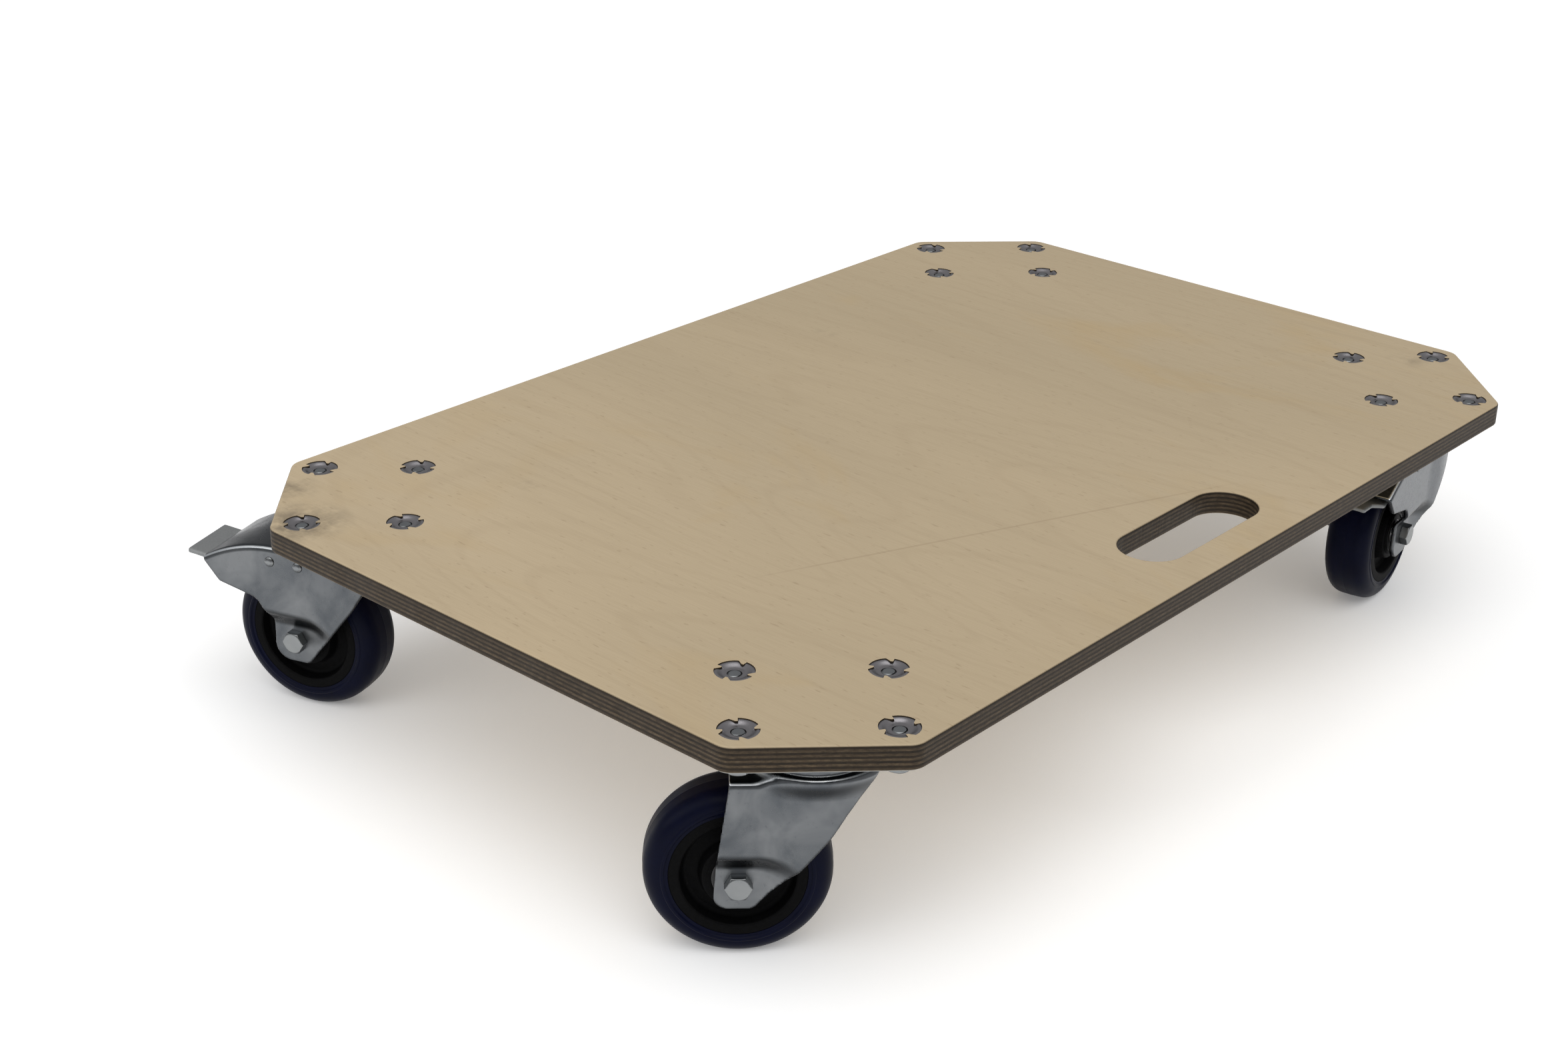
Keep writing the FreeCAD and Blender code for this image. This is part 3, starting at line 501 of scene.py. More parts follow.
face = birch.blend(birch.span(fibre, 0.35, 0.7, 0, 0.16), face, (0.31, 0.24, 0.16))
pore = birch.noise((620, 110, 1), 1.0, detail=1)
face = birch.blend(birch.span(pore, 0.68, 0.74, 0, 0.32), face, (0.23, 0.155, 0.09))

# %% [markdown]
# A few handling marks make the board this board: grey fingerprints beside the
# tee nuts where it was bolted up, one brown mineral fleck, and a long faint
# scratch that runs towards the hand slot. Each is a soft spot broken up by
# noise, never a clean disc.

# %% Handling marks
smudge_break = birch.noise((40, 40, 1), 1.0, detail=4, rough=0.7)
SMUDGES = (((-0.358, 0.176, 0), 0.034, 0.85), ((-0.333, 0.222, 0), 0.024, 0.6),
           ((-0.352, -0.226, 0), 0.014, 0.4), ((0.338, -0.165, 0), 0.016, 0.4),
           ((0.10, 0.165, 0), 0.012, 0.35), ((-0.23, 0.12, 0), 0.009, 0.35))
for centre, radius, amount in SMUDGES:
    broken = birch.span(smudge_break, 0.42, 0.62, 0, amount)
    mark = birch.sum("MULTIPLY", birch.spot(centre, radius), broken)
    face = birch.blend(mark, face, (0.15, 0.12, 0.085))
own = birch.parts(birch.place())
SCRATCH_SLOPE = 0.42
SCRATCH_Y = -0.162           # where its line crosses the deck's middle
SCRATCH_X = -0.08            # its own middle
scratch_line = birch.sum("ADD", own["Y"], birch.sum("MULTIPLY", own["X"], SCRATCH_SLOPE))
scratch_off = birch.sum("ABSOLUTE", birch.sum("ADD", scratch_line, -SCRATCH_Y))
scratch_ends = birch.sum("ABSOLUTE", birch.sum("ADD", own["X"], -SCRATCH_X))
scratch = birch.sum("MULTIPLY", birch.span(scratch_off, 0.0011, 0.0003),
                    birch.span(scratch_ends, 0.16, 0.10, 0, 0.35))
face = birch.blend(scratch, face, (0.28, 0.20, 0.125))

# %% [markdown]
# The edge: eleven plies, the odd ones end grain on the long sides. A sine of
# height would make them too even, so the depth is nudged by a slow noise along
# the edge before it is cut into bands.

# %% Plies on the edge
depth = birch.sum("MULTIPLY", own["Z"], -PLIES / thickness)
depth = birch.sum("ADD", depth, birch.span(birch.noise((6, 6, 1), 1.0), 0.2, 0.8, -0.10, 0.10))
band = birch.sum("PINGPONG", depth, 1.0)
grain_edge = birch.noise((260, 260, 900), 1.0, detail=3, rough=0.65)
# Both ply colours are painted shade as well as grain: far darker than birch is, for the sides that the overhead
# light leaves in shade.
dark_ply_in_painted_shade = birch.blend(birch.span(grain_edge, 0.3, 0.7),
                       (0.010, 0.007, 0.004), (0.028, 0.019, 0.011))
light_ply_in_painted_shade = birch.blend(birch.span(grain_edge, 0.35, 0.7),
                        (0.045, 0.031, 0.018), (0.11, 0.078, 0.046))
plies = birch.blend(birch.span(band, 0.42, 0.60), light_ply_in_painted_shade, dark_ply_in_painted_shade)
tone = birch.noise((1, 1, 620), 1.0, detail=1)
plies = birch.blend(birch.span(tone, 0.35, 0.65, 0, 0.5), plies, (0.022, 0.0145, 0.008))
up = birch.parts(birch.node("NewGeometry").outputs["Normal"])
level = birch.span(birch.sum("ABSOLUTE", up["Z"]), 0.45, 0.85)
birch.colour(birch.blend(level, plies, face))
birch.roughness(birch.span(fibre, 0.3, 0.7, 0.44, 0.58))
edge_relief = birch.sum("MULTIPLY", birch.span(level, 0, 1, 1, 0.12), grain_edge)
birch.relief(birch.sum("ADD", birch.sum("MULTIPLY", fibre, 0.25), edge_relief), 0.0004, 0.5)
frame["nodes"]["deck"].material_slots[0].material = birch.material
print("deck %.0f x %.0f x %.0f mm, %d plies" % (2000 * half_length, 2000 * half_width,
                                                1000 * thickness, PLIES))

# %% [markdown]
# ## Steel
#
# The castors are zinc plated: a cool grey mirror, a little cloudy, with a blue
# passivation tint and fine rolling marks. Light and shade are painted into the
# tone by the way a face points: painted shade underneath and in a band where the
# sheet bends, a painted highlight where it slopes up, and on a level top a
# painted reflection of the deck's dark underside. Fasteners are brighter and tee
# nuts are duller. One recipe with different numbers makes them, so it is a
# function. The pedal alone is a matt grey.


# %% Plated steel
ROLLING_DEPTH = 0.00002


def shaded(colour, share):
    return tuple(channel * share for channel in colour)


def plated(name, tint, cloud, rough, painted_shade_below=0.3, painted_highlight_up=1.0, level=1.0):
    """Zinc plate with painted light: its tone scaled for painted shade where faces look down and at bends, a
    painted highlight where they slope up, and a painted reflection where they lie level.
    """
    made = Finish(name, metallic=1.0, roughness=rough)
    facing = made.parts(made.node("NewGeometry").outputs["Normal"])["Z"]
    clouds = made.noise((1, 1, 1), 34.0, detail=3, rough=0.55, bend=0.5)
    spangle = made.noise((1, 1, 1), 380.0, detail=3, rough=0.7)
    rolled = made.noise((1, 1, 0.06), 900.0, detail=2)
    colour = made.blend(made.span(clouds, 0.3, 0.7), tint, cloud)
    colour = made.blend(made.span(spangle, 0.62, 0.8, 0, 0.35), colour, shaded(tint, 0.55))
    # Painted shade: a dark band on faces that tilt gently up, where the sheet bends.
    bend = made.sum("MULTIPLY", made.span(facing, 0.03, 0.14),
                    made.span(facing, 0.60, 0.42, 0, 0.7))
    colour = made.blend(bend, colour, shaded(tint, painted_shade_below))
    # Painted highlight on faces that slope up.
    colour = made.blend(made.span(facing, 0.42, 0.62), colour, shaded(cloud, painted_highlight_up))
    # Painted reflection on level tops: the deck's dark underside, set as a share of the tint.
    colour = made.blend(made.span(facing, 0.74, 0.84), colour, shaded(tint, level))
    # Painted shade on faces that look down.
    made.colour(made.blend(made.span(facing, -0.03, -0.42), colour, shaded(tint, painted_shade_below)))
    patchy = made.span(clouds, 0.3, 0.75, rough - 0.06, rough + 0.12)
    made.roughness(made.sum("ADD", patchy, made.span(spangle, 0.5, 0.8, 0, 0.10)))
    made.relief(made.sum("ADD", rolled, made.sum("MULTIPLY", spangle, 0.6)), ROLLING_DEPTH, 0.6)
    return made


# zinc_fork's tint is far darker than zinc plate: painted shade, standing in for darker surroundings for the fork
# to mirror.
zinc_fork = plated("zinc_fork", (0.085, 0.093, 0.103), (0.20, 0.208, 0.215), 0.27,
                   painted_shade_below=0.25, painted_highlight_up=3.4, level=0.55)
zinc_plate = plated("zinc_plate", (0.28, 0.29, 0.29), (0.35, 0.35, 0.34), 0.34, painted_shade_below=0.5)
zinc_fastener = plated("zinc_fastener", (0.20, 0.21, 0.22), (0.29, 0.30, 0.30), 0.28,
                       painted_shade_below=0.35)
tee_nut_steel = plated("tee_nut_steel", (0.24, 0.23, 0.24), (0.33, 0.32, 0.325), 0.32)
ball_steel = plated("ball_steel", (0.55, 0.55, 0.56), (0.62, 0.62, 0.62), 0.12, painted_shade_below=0.6)
spring_steel = plated("spring_steel", (0.20, 0.20, 0.21), (0.28, 0.28, 0.28), 0.35)

pedal_steel = Finish("pedal_steel", metallic=0.55, roughness=0.46)
pedal_grit = pedal_steel.noise((1, 1, 1), 900.0, detail=3)
pedal_tone = pedal_steel.noise((1, 1, 1), 30.0, detail=3)
pedal_colour = pedal_steel.blend(pedal_steel.span(pedal_tone, 0.3, 0.7),
                                 (0.21, 0.217, 0.222), (0.26, 0.267, 0.264))
pedal_steel.colour(pedal_steel.blend(pedal_steel.span(pedal_grit, 0.4, 0.7, 0, 0.3),
                                     pedal_colour, (0.15, 0.155, 0.16)))
pedal_steel.relief(pedal_grit, 0.00004, 0.5)
print("steel finishes ready")

# %% [markdown]
# The next finishes are for the wheel: an elastic rubber tyre in a blue so deep
# that it nearly reads as black, with the soft bloom of a mould-release film,
# and a black moulded centre. Each then goes on the frame nodes of its slot.

# %% Rubber and moulded black
blue_rubber = Finish("blue_rubber", roughness=0.5, specular=0.08)
bloom = blue_rubber.noise((1, 1, 1), 60.0, detail=4, rough=0.6)
dust = blue_rubber.noise((1, 1, 1), 700.0, detail=3, rough=0.7)
rubber = blue_rubber.blend(blue_rubber.span(bloom, 0.3, 0.75),
                           (0.0004, 0.0011, 0.009), (0.0006, 0.0018, 0.014))
rubber = blue_rubber.blend(blue_rubber.span(dust, 0.64, 0.8, 0, 0.22), rubber, (0.006, 0.007, 0.013))
blue_rubber.colour(rubber)
blue_rubber.roughness(blue_rubber.span(bloom, 0.3, 0.75, 0.34, 0.50))
blue_rubber.relief(dust, 0.00005, 0.5)

black_moulding = Finish("black_polyamide", roughness=0.6, specular=0.06)
moulded = black_moulding.noise((1, 1, 1), 500.0, detail=3, rough=0.7)
black_moulding.colour(black_moulding.blend(black_moulding.span(moulded, 0.35, 0.7),
                                           (0.0010, 0.0010, 0.0010), (0.0025, 0.0025, 0.003)))
black_moulding.relief(moulded, 0.00006, 0.6)

bearing_seal = Finish("bearing_seal", roughness=0.5)
seal_grain = bearing_seal.noise((1, 1, 1), 900.0)
bearing_seal.colour(bearing_seal.blend(seal_grain, (0.012, 0.012, 0.014), (0.035, 0.033, 0.032)))

slot_finish = {finish.name: finish for finish in (
    birch, tee_nut_steel, zinc_fastener, zinc_plate, zinc_fork, ball_steel, bearing_seal,
    black_moulding, blue_rubber, pedal_steel, spring_steel)}
node_slot = {part["node"]: part["material_slot"] for part in frame["record"]["subparts"]}
for node, slot in node_slot.items():
    for holder in frame["nodes"][node].material_slots:
        holder.material = slot_finish[slot].material
print("finishes on", len(node_slot), "frame nodes")

# %% [markdown]
# ## The fork
#
# The fork is one pressing of 3 mm sheet. Seen from the side, its front edge
# sweeps back from the round crown to a narrow foot, and low down the sheet
# steps in to meet the axle. The whole outer form is one distance: a flared
# drum softly joined to two flat walls, whose half width narrows at the step.
# Keeping only a 3 mm layer of it makes the sheet, and the side outline trims it.

# %% Fork sizes
SHEET = 3.0
CROWN_RADIUS = 36.0
CROWN_TOP = -12.0
NOSE = 8.0
SHOULDER_TOP = -16.5
NECK = -27.0
LEG_HALF = 30.5
FOOT_HALF = 23.0
FOOT_DROP = 15.0             # below the axle
STEP_TOP = 20.0 - axle_drop
STEP_RUN = 9.0
STEP_FRONT = 20.0
STEP_LEAN = (0.55, 0.835)    # the front of the step leans back with the leg
FRONT_EDGE = ((8.0, -FOOT_DROP, 5.0), (17.0, -3.5, 12.0), (30.0, 11.0, 40.0),
              (46.5, 32.0, 30.0), (57.5, 50.0, 60.0))    # ahead of the axle, above it, radius
REAR_EDGE = 44.0
HOOD_START = 46.0
HOOD_FALL = 0.0058
HOOD_END = 98.5
LIP_RADIUS = 32.8
LIP_TOP = -4.3
LIP_BOTTOM = -16.0
DISC_TOP = -8.3
DISC_HOLE = 13.0


def fork_outline(has_brake):
    """Side view of the sheet, with the corner radii of its trimmed edge."""
    foot = -axle_drop - FOOT_DROP
    front = [(trail - ahead, above - axle_drop, fillet) for ahead, above, fillet in FRONT_EDGE]
    front += [(1.5 - CROWN_RADIUS, CROWN_TOP - 1.5, 0), (-1 - CROWN_RADIUS, 0, 0)]
    if not has_brake:
        return rounded(front + [(REAR_EDGE, 0, 0), (REAR_EDGE, SHOULDER_TOP - 3.0, 3.0),
                                (REAR_EDGE + 6.0, STEP_TOP, 120.0), (trail + 13.5, foot, 7.0)])
    return rounded(front + [(HOOD_END, 0, 0), (HOOD_END, -33.5, 1.5), (HOOD_END - 11.0, -47.0, 2.5),
                            (trail + 22.0, -53.5, 10.0), (trail + 15.0, STEP_TOP - 3.0, 12.0),
                            (trail + 16.5, foot, 10.0)])


def fork_shape(has_brake):
    outline = fork_outline(has_brake)

    def shape(u, s, z):
        reach = np.hypot(u, s)
        flare = LEG_HALF + (CROWN_RADIUS - LEG_HALF) * ease((z - NECK) / (CROWN_TOP - 3.0 - NECK))
        drum = soft_max(reach - flare, z - CROWN_TOP, 2.5)
        step_front = (u - STEP_FRONT) * STEP_LEAN[0] - (z - STEP_TOP) * STEP_LEAN[1]
        inside_step = -soft_max(z - STEP_TOP, -step_front, 6.0)
        stepped = soft_min(soft_max(inside_step / STEP_RUN, 0, 0.3), 1, 0.3)
        half = LEG_HALF - (LEG_HALF - FOOT_HALF) * stepped
        top = SHOULDER_TOP - (HOOD_FALL * np.maximum(u - HOOD_START, 0) ** 2 if has_brake else 0)
        walls = soft_max(np.hypot(np.minimum(u + NOSE, 0), s) - half, z - top, 4.0)
        outer = soft_min(drum, walls, 8.0)
        sheet = np.abs(outer + SHEET / 2) - SHEET / 2
        sheet = soft_max(sheet, outline_distance(outline, u, z), 0.7)
        eye = soft_max(reach - LIP_RADIUS + SHEET, -18.0 - z, 0.5)
        sheet = soft_max(sheet, -eye, 0.6)
        ring = np.maximum(reach - LIP_RADIUS, DISC_HOLE - reach)
        disc = soft_max(ring, np.abs(z - DISC_TOP + SHEET / 2) - SHEET / 2, 0.8)
        lip = soft_max(np.abs(reach - LIP_RADIUS + SHEET / 2) - SHEET / 2,
                       np.abs(z - (LIP_TOP + LIP_BOTTOM) / 2) - (LIP_TOP - LIP_BOTTOM) / 2, 0.8)
        return soft_min(soft_min(disc, lip, 1.2), sheet, 1.2)

    return shape


# %% Forks
FORK_STEP = 0.85
fork_mesh = {}
for has_brake in (False, True):
    low = (-44, -38, -axle_drop - 16)
    high = ((HOOD_END if has_brake else trail + 16) + 1, 38, -2)
    shape = skin(fork_shape(has_brake), low, high, FORK_STEP)
    fork_mesh[has_brake] = as_mesh("fork", shape, zinc_fork, crease=60)
    print("fork, brake", has_brake, "faces", len(shape[1]))
for corner in corners:
    fit("pressed_fork_" + corner, fork_mesh[corner in braked], "swivel_" + corner,
        ["fork_" + corner], places[corner])

# %% [markdown]
# ## The wheel
#
# A lathe gives the tyre and its centre. The tyre's tread is crowned, its
# shoulders are generous, and a moulded bead stands a little proud where the
# rubber grips the black rim. The centre is dished, so it falls into shade
# behind the fork's foot, as a real one does.

# %% Tyres and wheel centres
TYRE_HALF = 16.0
RIM_OUT = 36.5
RIM_IN = 30.5
axle_at = (trail, 0, -axle_drop)


def both_sides(half):
    """A right-hand outline and its mirror image, as one closed outline."""
    return half + [(r, -s, fillet) for r, s, fillet in reversed(half)]


tyre_half = [(RIM_OUT, TYRE_HALF - 1.0, 0), (RIM_OUT + 1.6, TYRE_HALF - 0.9, 0.6),
             (RIM_OUT + 2.4, TYRE_HALF - 0.1, 0.7), (RIM_OUT + 3.6, TYRE_HALF - 0.1, 0.5),
             (RIM_OUT + 4.1, TYRE_HALF - 0.5, 0.5), (wheel_radius - 0.45, TYRE_HALF - 0.4, 9.4),
             (wheel_radius - 0.05, 0.35, 0.1), (wheel_radius, 0.25, 0)]
centre_half = [(14.0, 9.5, 0), (14.0, 17.4, 0.3), (16.2, 17.4, 0.3), (16.4, 16.6, 0.3),
               (19.0, 16.6, 1.2), (20.6, 9.0, 2.2), (RIM_IN - 1.6, 8.2, 2.4),
               (RIM_IN, 14.6, 0.8), (RIM_IN + 0.9, 15.2, 0.5), (RIM_OUT - 0.5, 15.2, 0.6),
               (RIM_OUT, 14.7, 0)]
SPIN_STEPS = 144
tyre_mesh = as_mesh("tyre", lathe(rounded(both_sides(tyre_half), 8), "Y", SPIN_STEPS, axle_at),
                    blue_rubber, 35)
centre_mesh = as_mesh("wheel_centre", lathe(rounded(both_sides(centre_half), 10), "Y", SPIN_STEPS,
                                            axle_at), black_moulding, 35)
for corner in corners:
    fit("rubber_tyre_" + corner, tyre_mesh, "wheel_" + corner,
        ["tyre_" + corner], places[corner])
    fit("moulded_centre_" + corner, centre_mesh, "wheel_" + corner,
        ["wheel_centre_" + corner], places[corner])
print("tyre faces", len(tyre_mesh.polygons), "centre faces", len(centre_mesh.polygons))

# %% [markdown]
# ## Bolts and nuts
#
# A forged hexagon head has soft arrises and a round chamfered face, so it also
# suits a distance formula. The thread is a grid wrapped round the shank whose
# radius follows the height minus the turn: where the two agree is the helix.

# %% Hexagons and threads
HEX_HALF = 6.5
HEAD_HEIGHT = 5.3
NUT_HEIGHT = 8.0
THREAD_RADIUS = 4.0
THREAD_PITCH = 1.25
THREAD_DEPTH = 0.6
THREAD_GAP = 0.05
THREAD_TIP = 0.8             # length and depth of the shank's chamfered end
HEX_ARRIS = 0.25
HEX_FACE = 6.35              # radius of the flat round face inside the chamfer
HEX_REACH = 7.6
HEX_STEP = 0.3


def hexagon(height, bore=0.0, both=False):
    """Hexagon standing on height 0, its far face chamfered, or both for a nut."""
    def shape(x, y, z):
        slanted = np.abs(x) * math.sin(math.pi / 3) + np.abs(y) * 0.5
        sides = soft_max(np.abs(y), slanted, HEX_ARRIS) - HEX_HALF
        reach = np.hypot(x, y)
        body = soft_max(sides, np.abs(z - height / 2) - height / 2, HEX_ARRIS)
        body = soft_max(body, (reach - HEX_FACE) * 0.5 + (z - height) * 0.87, 0.15)
        if both:
            body = soft_max(body, (reach - HEX_FACE) * 0.5 - z * 0.87, 0.15)
        if bore:
            body = soft_max(body, bore + THREAD_GAP - reach, 0.3)
        return body
    return skin(shape, (-HEX_REACH, -HEX_REACH, 0), (HEX_REACH, HEX_REACH, height), HEX_STEP)


def threaded(low, high, plain=0.0, segments=40):
    """Shank from low to high; its first plain millimetres are smooth."""
    rows = np.arange(0, high - low + 1e-6, THREAD_PITCH / 8)
    turn = np.linspace(0, 2 * math.pi, segments, endpoint=False)
    height, angle = np.meshgrid(rows, turn, indexing="ij")
    wave = np.abs(((height / THREAD_PITCH - angle / (2 * math.pi)) % 1) * 2 - 1)
    fade = ease((height - plain) / THREAD_PITCH) * ease((high - low - height) / 0.6 + 0.15)
    radius = THREAD_RADIUS - THREAD_DEPTH * wave * fade
    radius = radius - THREAD_TIP * ease((height - (high - low) + THREAD_TIP) / THREAD_TIP)
    points = np.stack([radius * np.cos(angle), radius * np.sin(angle), height + low], 2)
    points = points.reshape(-1, 3)
    count = len(rows)
    i, j = np.meshgrid(np.arange(count - 1), np.arange(segments), indexing="ij")
    j2 = (j + 1) % segments
    quads = np.stack([i * segments + j, i * segments + j2, (i + 1) * segments + j2,
                      (i + 1) * segments + j], 2).reshape(-1, 4).tolist()
    quads.append([segments - 1 - k for k in range(segments)])
    quads.append([(count - 1) * segments + k for k in range(segments)])
    return points, quads


def stood(shape, turn=None, offset=(0, 0, 0)):
    """A shape turned by a matrix and moved."""
    points = np.asarray(shape[0])
    if turn is not None:
        points = points @ np.array(turn).T
    return points + np.array(offset), shape[1]


# %% [markdown]
# The axle bolt goes in from one foot and its lock nut closes on the other. In
# the castor's view the bolt lies along s, so an upright bolt is tipped over
# with a quarter turn about u.

# %% Axle bolts and nuts
to_side = Matrix.Rotation(math.radians(-90), 3, "X")
to_far_side = Matrix.Rotation(math.radians(90), 3, "X")
THREAD_SHOWN = 2.0           # past the nut
THREAD_INSIDE = 6.0          # how far the thread runs back past the far foot
shank_length = 2 * FOOT_HALF + NUT_HEIGHT + THREAD_SHOWN
bolt_shape = joined(stood(hexagon(HEAD_HEIGHT), to_side, (trail, FOOT_HALF, -axle_drop)),
                    stood(threaded(0, shank_length, 2 * FOOT_HALF - THREAD_INSIDE), to_far_side,
                          (trail, FOOT_HALF, -axle_drop)))
nut_shape = stood(hexagon(NUT_HEIGHT, THREAD_RADIUS, both=True), to_far_side,
                  (trail, -FOOT_HALF, -axle_drop))
axle_bolt_mesh = as_mesh("axle_bolt", bolt_shape, zinc_fastener, 50)
axle_nut_mesh = as_mesh("axle_nut", nut_shape, zinc_fastener, 50)
for corner in corners:
    fit("hex_axle_bolt_" + corner, axle_bolt_mesh, "swivel_" + corner,
        ["axle_bolt_" + corner], places[corner])
    fit("hex_axle_nut_" + corner, axle_nut_mesh, "swivel_" + corner,
        ["axle_nut_" + corner], places[corner])
print("axle bolt faces", len(axle_bolt_mesh.polygons))

# %% [markdown]
# ## Tee nuts
#
# Sixteen tee nuts are pulled into the top face. Stamping leaves four lobes
# where the prongs were sheared out and bent down, and pulling the bolt tight
# dishes the flange. A polar grid follows that: the rim's radius drops sharply
# at each notch and runs back out, and the height falls towards the barrel.
# Each nut sits at the angle of its seat in the wood, its neighbours at others.

# %% Tee nuts and plate bolts
FLANGE = 10.9
FLANGE_SHEET = 1.2
FLANGE_SINK = 0.12
DISH = 1.6
BARREL = 5.2
BARREL_LENGTH = 7.8
BOLT_END = -1.5
LOBES = 4
LOBE_START = 32.0            # degrees, where a lobe's radius drops sharply to the notch
NOTCH = 8.1
NOTCH_TURN = 9.0
NOTCH_RUN_OUT = 27.0
TEE_NUT_SPIN = 37.0          # each nut's turn from the one before


def tee_nut():
    """Dished flange with four lobes and the barrel, top of the deck at 0."""
    rows, turns = 14, 180
    around = np.linspace(0, 2 * math.pi, turns, endpoint=False)
    share, angle = np.meshgrid(np.linspace(0, 1, rows), around, indexing="ij")
    past = (np.degrees(angle) - LOBE_START) % (360 / LOBES)
    run_out = np.clip((past - NOTCH_TURN) / (NOTCH_RUN_OUT - NOTCH_TURN), 0, 1)
    rim = NOTCH + (FLANGE - NOTCH) * run_out
    bore = THREAD_RADIUS + 0.1
    radius = bore + (rim - bore) * share
    rise = ease((radius - BARREL - 0.6) / (FLANGE - BARREL - 1.4))
    roll = ease((share - 0.80) / 0.20) * 0.35
    top = -FLANGE_SINK - DISH * (1 - rise) - roll
    layers = [(radius, top), (radius - 0.1 * share, top - FLANGE_SHEET)]
    points = np.concatenate([np.stack([r * np.cos(angle), r * np.sin(angle), h], 2).reshape(-1, 3)
                             for r, h in layers])
    i, j = np.meshgrid(np.arange(rows - 1), np.arange(turns), indexing="ij")
    j2 = (j + 1) % turns
    sheet = np.stack([i * turns + j, (i + 1) * turns + j, (i + 1) * turns + j2, i * turns + j2], 2)
    sheet = sheet.reshape(-1, 4)
    under = sheet[:, ::-1] + rows * turns
    k = np.arange(turns)
    k2 = (k + 1) % turns
    last = (rows - 1) * turns
    wall = np.stack([last + k, last + rows * turns + k, last + rows * turns + k2, last + k2], 1)
    lining = np.stack([k, k2, rows * turns + k2, rows * turns + k], 1)
    flange = (points, np.concatenate([sheet, under, wall, lining]))
    barrel_top = -FLANGE_SINK - DISH - FLANGE_SHEET + 0.3
    barrel_end = barrel_top - BARREL_LENGTH
    barrel = rounded([(bore, barrel_top, 0), (BARREL, barrel_top, 0),
                      (BARREL, barrel_end, 0.5), (bore, barrel_end, 0)])
    return joined(flange, lathe(barrel, "Z", 40))


plate_under = -thickness / MM - SHEET
plate_bolt_shape = joined(
    stood(hexagon(HEAD_HEIGHT), Matrix.Rotation(math.pi, 3, "X"), (0, 0, plate_under)),
    threaded(plate_under, BOLT_END, plain=2.0))
tee_nut_shape = tee_nut()
HOLES = [(half_long, half_short) for half_long in (-40.0, 40.0) for half_short in (-30.0, 30.0)]
random_turn = np.random.default_rng(7)
for count, corner in enumerate(("front_left", "rear_left", "front_right", "rear_right"), start=1):
    place = places[corner].translation
    toward = Vector((math.copysign(1, place.x), math.copysign(1, place.y))).normalized()
    along = Vector((toward.y, -toward.x))
    heading = math.degrees(math.atan2(along.y, along.x))
    nuts, bolts = [], []
    for index, (half_long, half_short) in enumerate(HOLES, start=1):
        spot = Vector((place.x, place.y)) / MM + along * half_long + toward * half_short
        turn = Matrix.Rotation(math.radians(heading + TEE_NUT_SPIN * index * count), 3, "Z")
        nuts.append(stood(tee_nut_shape, turn, (spot.x, spot.y, 0)))
        turn = Matrix.Rotation(random_turn.uniform(0, math.pi / 3), 3, "Z")
        bolts.append(stood(plate_bolt_shape, turn, (spot.x, spot.y, 0)))
    fit("stamped_tee_nuts_" + corner, as_mesh("tee_nuts", joined(*nuts), tee_nut_steel, 60),
        "deck", ["tee_nuts_" + corner])
    fit("hex_plate_bolts_" + corner, as_mesh("plate_bolts", joined(*bolts), zinc_fastener, 50),
        "deck", ["plate_bolts_" + corner])
print("tee nuts and plate bolts on", len(corners), "corners")

# %% [markdown]
# ## The brake
#
# The pedal is a channel pressed from 2.5 mm sheet. It hangs on a pin between
# the hood's cheeks, follows the hood's curve just below its lips, and comes
# out behind as a flat plate for the toe. Its side walls taper away before the
# plate, and a curved shoe under the sheet faces the tyre.

# %% Brake pedal
PEDAL_SHEET = 2.5
PEDAL_HALF = 26.5
PEDAL_TIP = 117.0
PEDAL_TIP_HALF = 20.0
PEDAL_GAP = 4.4
CURVE_END = 92.0             # where the sheet stops following the hood's curve
TOE_BLEND = (84.0, 98.0)     # it turns into the toe plate between these
TOE_AT, TOE_HEIGHT, TOE_SLOPE = 102.5, -36.9, 0.11
WALL_DEPTH = 9.5
WALL_END, WALL_TAPER = 88.0, 22.0
SHOE_HALF = (8.0, 13.0)      # along and across
SHOE_MIDDLE = 68.0
SHOE_GAP = 4.0
PIVOT = (49.0, -26.5)
SPRING_PIN = (29.0, -26.5)
RIVET_HEAD = 3.3
RIVET_RISE = 1.4


def pedal_top(u):
    """Height of the pedal's top sheet: the hood's curve, then a straight toe plate."""
    along = np.clip(u, HOOD_START, CURVE_END) - HOOD_START
    curve = SHOULDER_TOP - PEDAL_GAP - HOOD_FALL * along ** 2
    toe = TOE_HEIGHT + TOE_SLOPE * (u - TOE_AT)
    share = ease((u - TOE_BLEND[0]) / (TOE_BLEND[1] - TOE_BLEND[0]))
    return curve * (1 - share) + toe * share


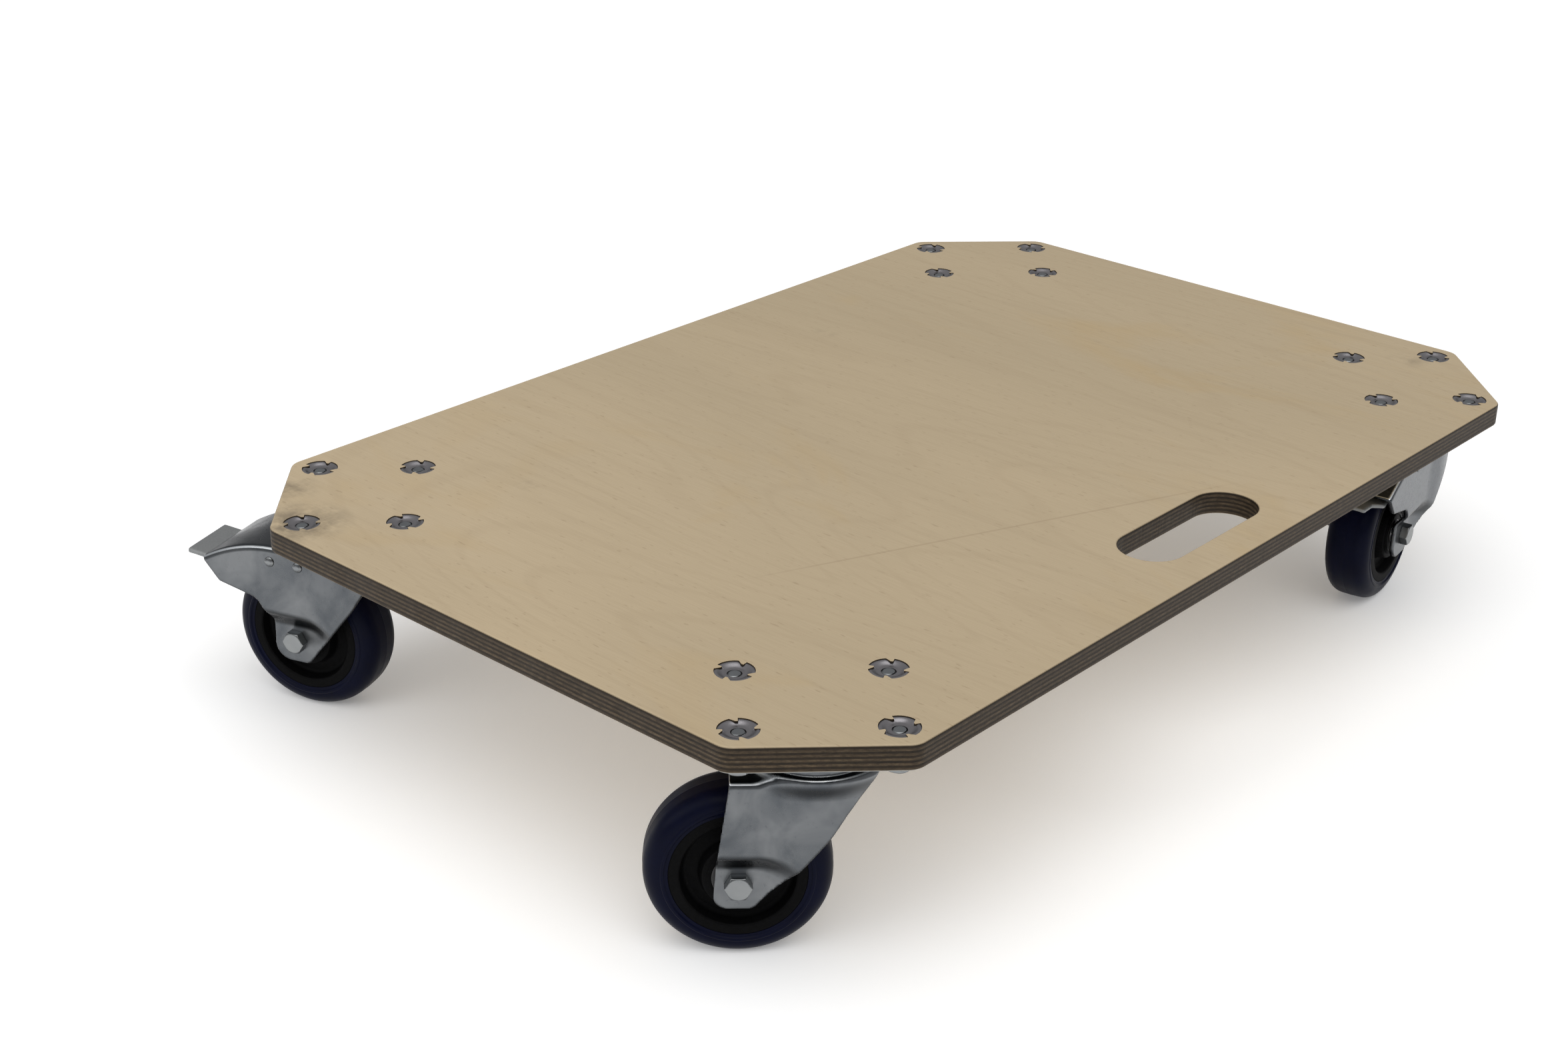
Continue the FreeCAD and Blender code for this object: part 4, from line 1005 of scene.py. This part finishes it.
def pedal_shape(u, s, z):
    narrow = PEDAL_HALF - (PEDAL_HALF - PEDAL_TIP_HALF) * ease((u - HOOD_END + 2.0) / 7.0)
    top = pedal_top(u)
    outer = soft_max(np.abs(s) - narrow, z - top, 2.2)
    sheet = np.abs(outer + PEDAL_SHEET / 2) - PEDAL_SHEET / 2
    depth = PEDAL_SHEET + 0.2 + WALL_DEPTH * ease((WALL_END - u) / WALL_TAPER)
    sheet = soft_max(sheet, top - depth - z, 0.6)
    plan = soft_max(soft_max(u - PEDAL_TIP, np.abs(s) - narrow, 1.2), REAR_EDGE + 3.0 - u, 0.5)
    sheet = soft_max(sheet, plan, 0.6)
    shoe = soft_max(np.abs(s) - SHOE_HALF[1], np.abs(u - SHOE_MIDDLE) - SHOE_HALF[0], 1.0)
    shoe = soft_max(shoe, z - top + 1.0, 0.5)
    shoe = soft_max(shoe, wheel_radius + SHOE_GAP - np.hypot(u - trail, z + axle_drop), 0.5)
    return soft_min(sheet, shoe, 0.8)


pedal_mesh = as_mesh("brake_pedal", skin(pedal_shape, (46, -28, -46), (118, 28, -19),
                                         0.75), pedal_steel, 60)
for corner in braked:
    fit("pressed_pedal_" + corner, pedal_mesh, "pedal_" + corner,
        ["brake_pedal_" + corner], places[corner])
print("pedal faces", len(pedal_mesh.polygons))

# %% [markdown]
# Two riveted pins cross the fork: the pedal turns on the rear one and its leaf
# spring hooks on the front one. Their closed heads are low domes, so a lathe
# draws each pin in one outline from head to head.

# %% Pedal pins
PIN_RADIUS = 2.35
rivet_half = [(0, LEG_HALF + RIVET_RISE, 0), (RIVET_HEAD * 0.5, LEG_HALF + RIVET_RISE - 0.1, 2.0),
              (RIVET_HEAD - 0.1, LEG_HALF + RIVET_RISE * 0.45, 0.8), (RIVET_HEAD, LEG_HALF, 0),
              (PIN_RADIUS, LEG_HALF, 0)]
pin_outline = rounded(both_sides(rivet_half), 10)
pins_mesh = as_mesh("pedal_pins", joined(*[lathe(pin_outline, "Y", 48, (u, 0, z))
                                           for u, z in (PIVOT, SPRING_PIN)]), zinc_fastener, 40)
for corner in braked:
    fit("riveted_pins_" + corner, pins_mesh, "swivel_" + corner,
        ["pedal_pins_" + corner], places[corner])
print("pin faces", len(pins_mesh.polygons))
